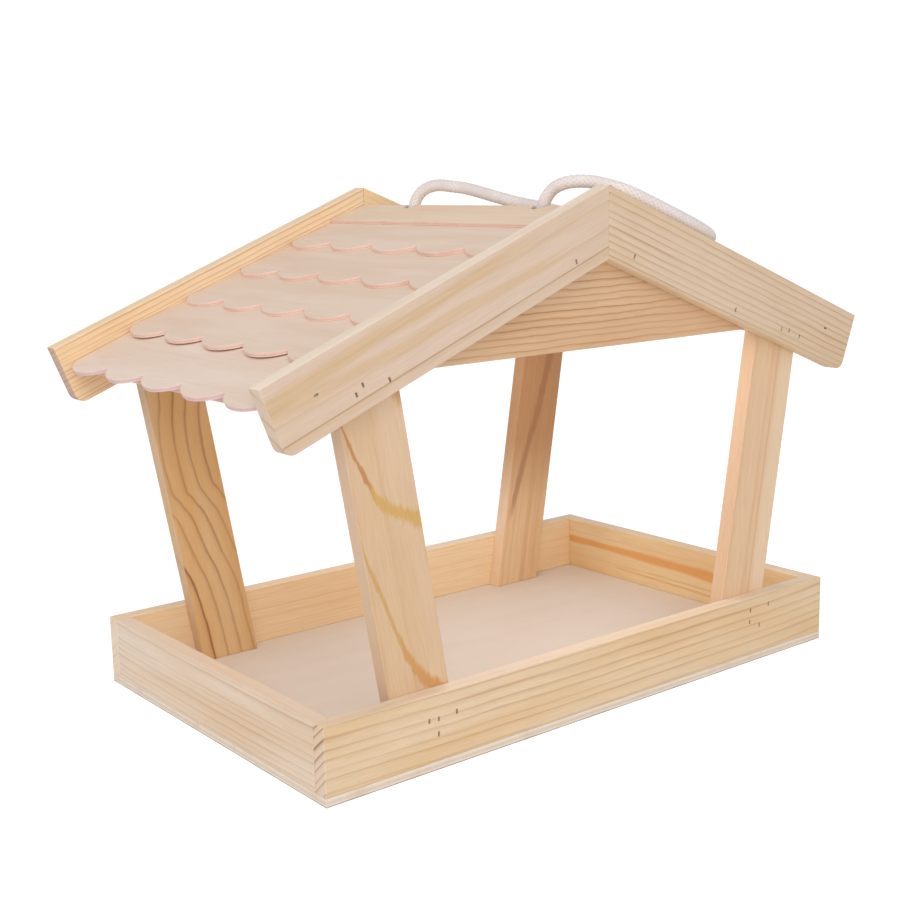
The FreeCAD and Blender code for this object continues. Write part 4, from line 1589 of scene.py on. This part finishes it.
@dataclass(frozen=True)
class Lamp:
    """A soft square lamp: its direction from its aim in degrees, distance and side in metres, and watts."""

    name: str
    azimuth: float
    elevation: float
    distance: float
    size: float
    power: float
    colour: Colour = (255, 250, 245)
    aim: Point = (0.0, 0.0, 0.11)

    def build(self) -> None:
        """Hang the lamp so that it faces its aim."""
        data = bpy.data.lights.new(self.name, "AREA")
        data.shape = "SQUARE"
        data.size = self.size
        data.energy = self.power
        data.color = linear(self.colour)[:3]
        lamp = new_object(self.name, data)
        away = direction(self.azimuth, self.elevation)
        lamp.location = Vector(self.aim) + away * self.distance
        lamp.rotation_euler = away.to_track_quat("Z", "Y").to_euler()


@dataclass
class Studio:
    """The camera, in millimetres and degrees, the pale floor, in metres, and the soft light."""

    eye: Point = (-440.3, -539.3, 246.6)
    azimuth: float = -38.267
    elevation: float = 11.021
    roll: float = -1.180
    lens: float = 56.055
    sensor: float = 36.0
    nearest: float = 10.0
    floor_size: float = 30.0
    floor_level: float = -0.0004
    floor_colour: Colour = (236, 234, 232)
    floor_roughness: float = 0.95
    floor_white: float = 0.85
    glow: float = 1.2
    sky: float = 0.4
    sky_colour: Colour = (255, 252, 248)
    white: float = 1.05
    lamps: tuple[Lamp, ...] = (
        Lamp("key", -42.0, 40.0, 2.0, 1.3, 14.0),
        Lamp("left", -110.0, 30.0, 2.0, 1.4, 6.5),
        Lamp("low", -20.0, 12.0, 2.0, 1.0, 8.5),
        Lamp("under_roof", 0.0, 90.0, 0.08, 0.14, 0.165, aim=(0.02, 0.0, 0.11)),
    )

    def camera(self) -> None:
        """Set the camera where the photograph was taken from."""
        back = direction(self.azimuth, self.elevation)
        right = Vector(UPWARD).cross(back).normalized()
        across = Matrix.Rotation(math.radians(self.roll), 3, back) @ right
        data = bpy.data.cameras.new("camera")
        data.sensor_width = self.sensor
        data.lens = self.lens
        data.clip_start = self.nearest * MM
        camera = new_object("camera", data)
        axes = Matrix((across, back.cross(across), back)).transposed().to_4x4()
        camera.matrix_world = Matrix.Translation(Vector(self.eye) * MM) @ axes
        bpy.context.scene.camera = camera

    def floor(self) -> None:
        """Lay a wide pale floor that the camera sees as nearly white."""
        shape = bmesh.new()
        bmesh.ops.create_grid(shape, x_segments=2, y_segments=2, size=self.floor_size)
        mesh = bpy.data.meshes.new("floor")
        shape.to_mesh(mesh)
        shape.free()
        mesh.transform(Matrix.Translation((0.0, 0.0, self.floor_level)))
        paint = Paint("floor_paint")
        paint.feed(paint.shader.inputs["Base Color"], linear(self.floor_colour))
        paint.feed(paint.shader.inputs["Roughness"], self.floor_roughness)
        glow = paint.out("ShaderNodeEmission", {"Strength": self.glow})
        rays = ("Camera", "Glossy")
        paint.show_white("Material Output", paint.shader.outputs[0], glow, rays, self.floor_white)
        mesh.materials.append(paint.material)
        new_object("floor", mesh)

    def world(self) -> None:
        """Surround the scene with soft light that the camera sees as white."""
        world = bpy.data.worlds.new("studio")
        bpy.context.scene.world = world
        world.use_nodes = True
        sky = Wiring(world.node_tree)
        soft = world.node_tree.nodes["Background"]
        sky.feed(soft.inputs["Color"], linear(self.sky_colour))
        sky.feed(soft.inputs["Strength"], self.sky)
        white = sky.out("ShaderNodeBackground", {"Color": (1.0, 1.0, 1.0, 1.0), "Strength": self.white})
        rays = ("Camera", "Glossy", "Transmission")
        sky.show_white("World Output", soft.outputs[0], white, rays, 1.0)

    def build(self) -> None:
        """Set everything up."""
        self.camera()
        self.floor()
        self.world()
        for lamp in self.lamps:
            lamp.build()
        bpy.context.scene.view_settings.view_transform = "Standard"


def main() -> None:
    """Build the studio and then each sub-assembly."""
    logging.basicConfig(level=logging.INFO, format="%(name)s: %(message)s")
    Studio().build()
    RopeLoop().build()
    brads = Brads()
    for assembly in (Tray(), Posts(), Gables(), Roof()):
        assembly.build(brads)
    brads.build()


if __name__ == "__main__":
    main()
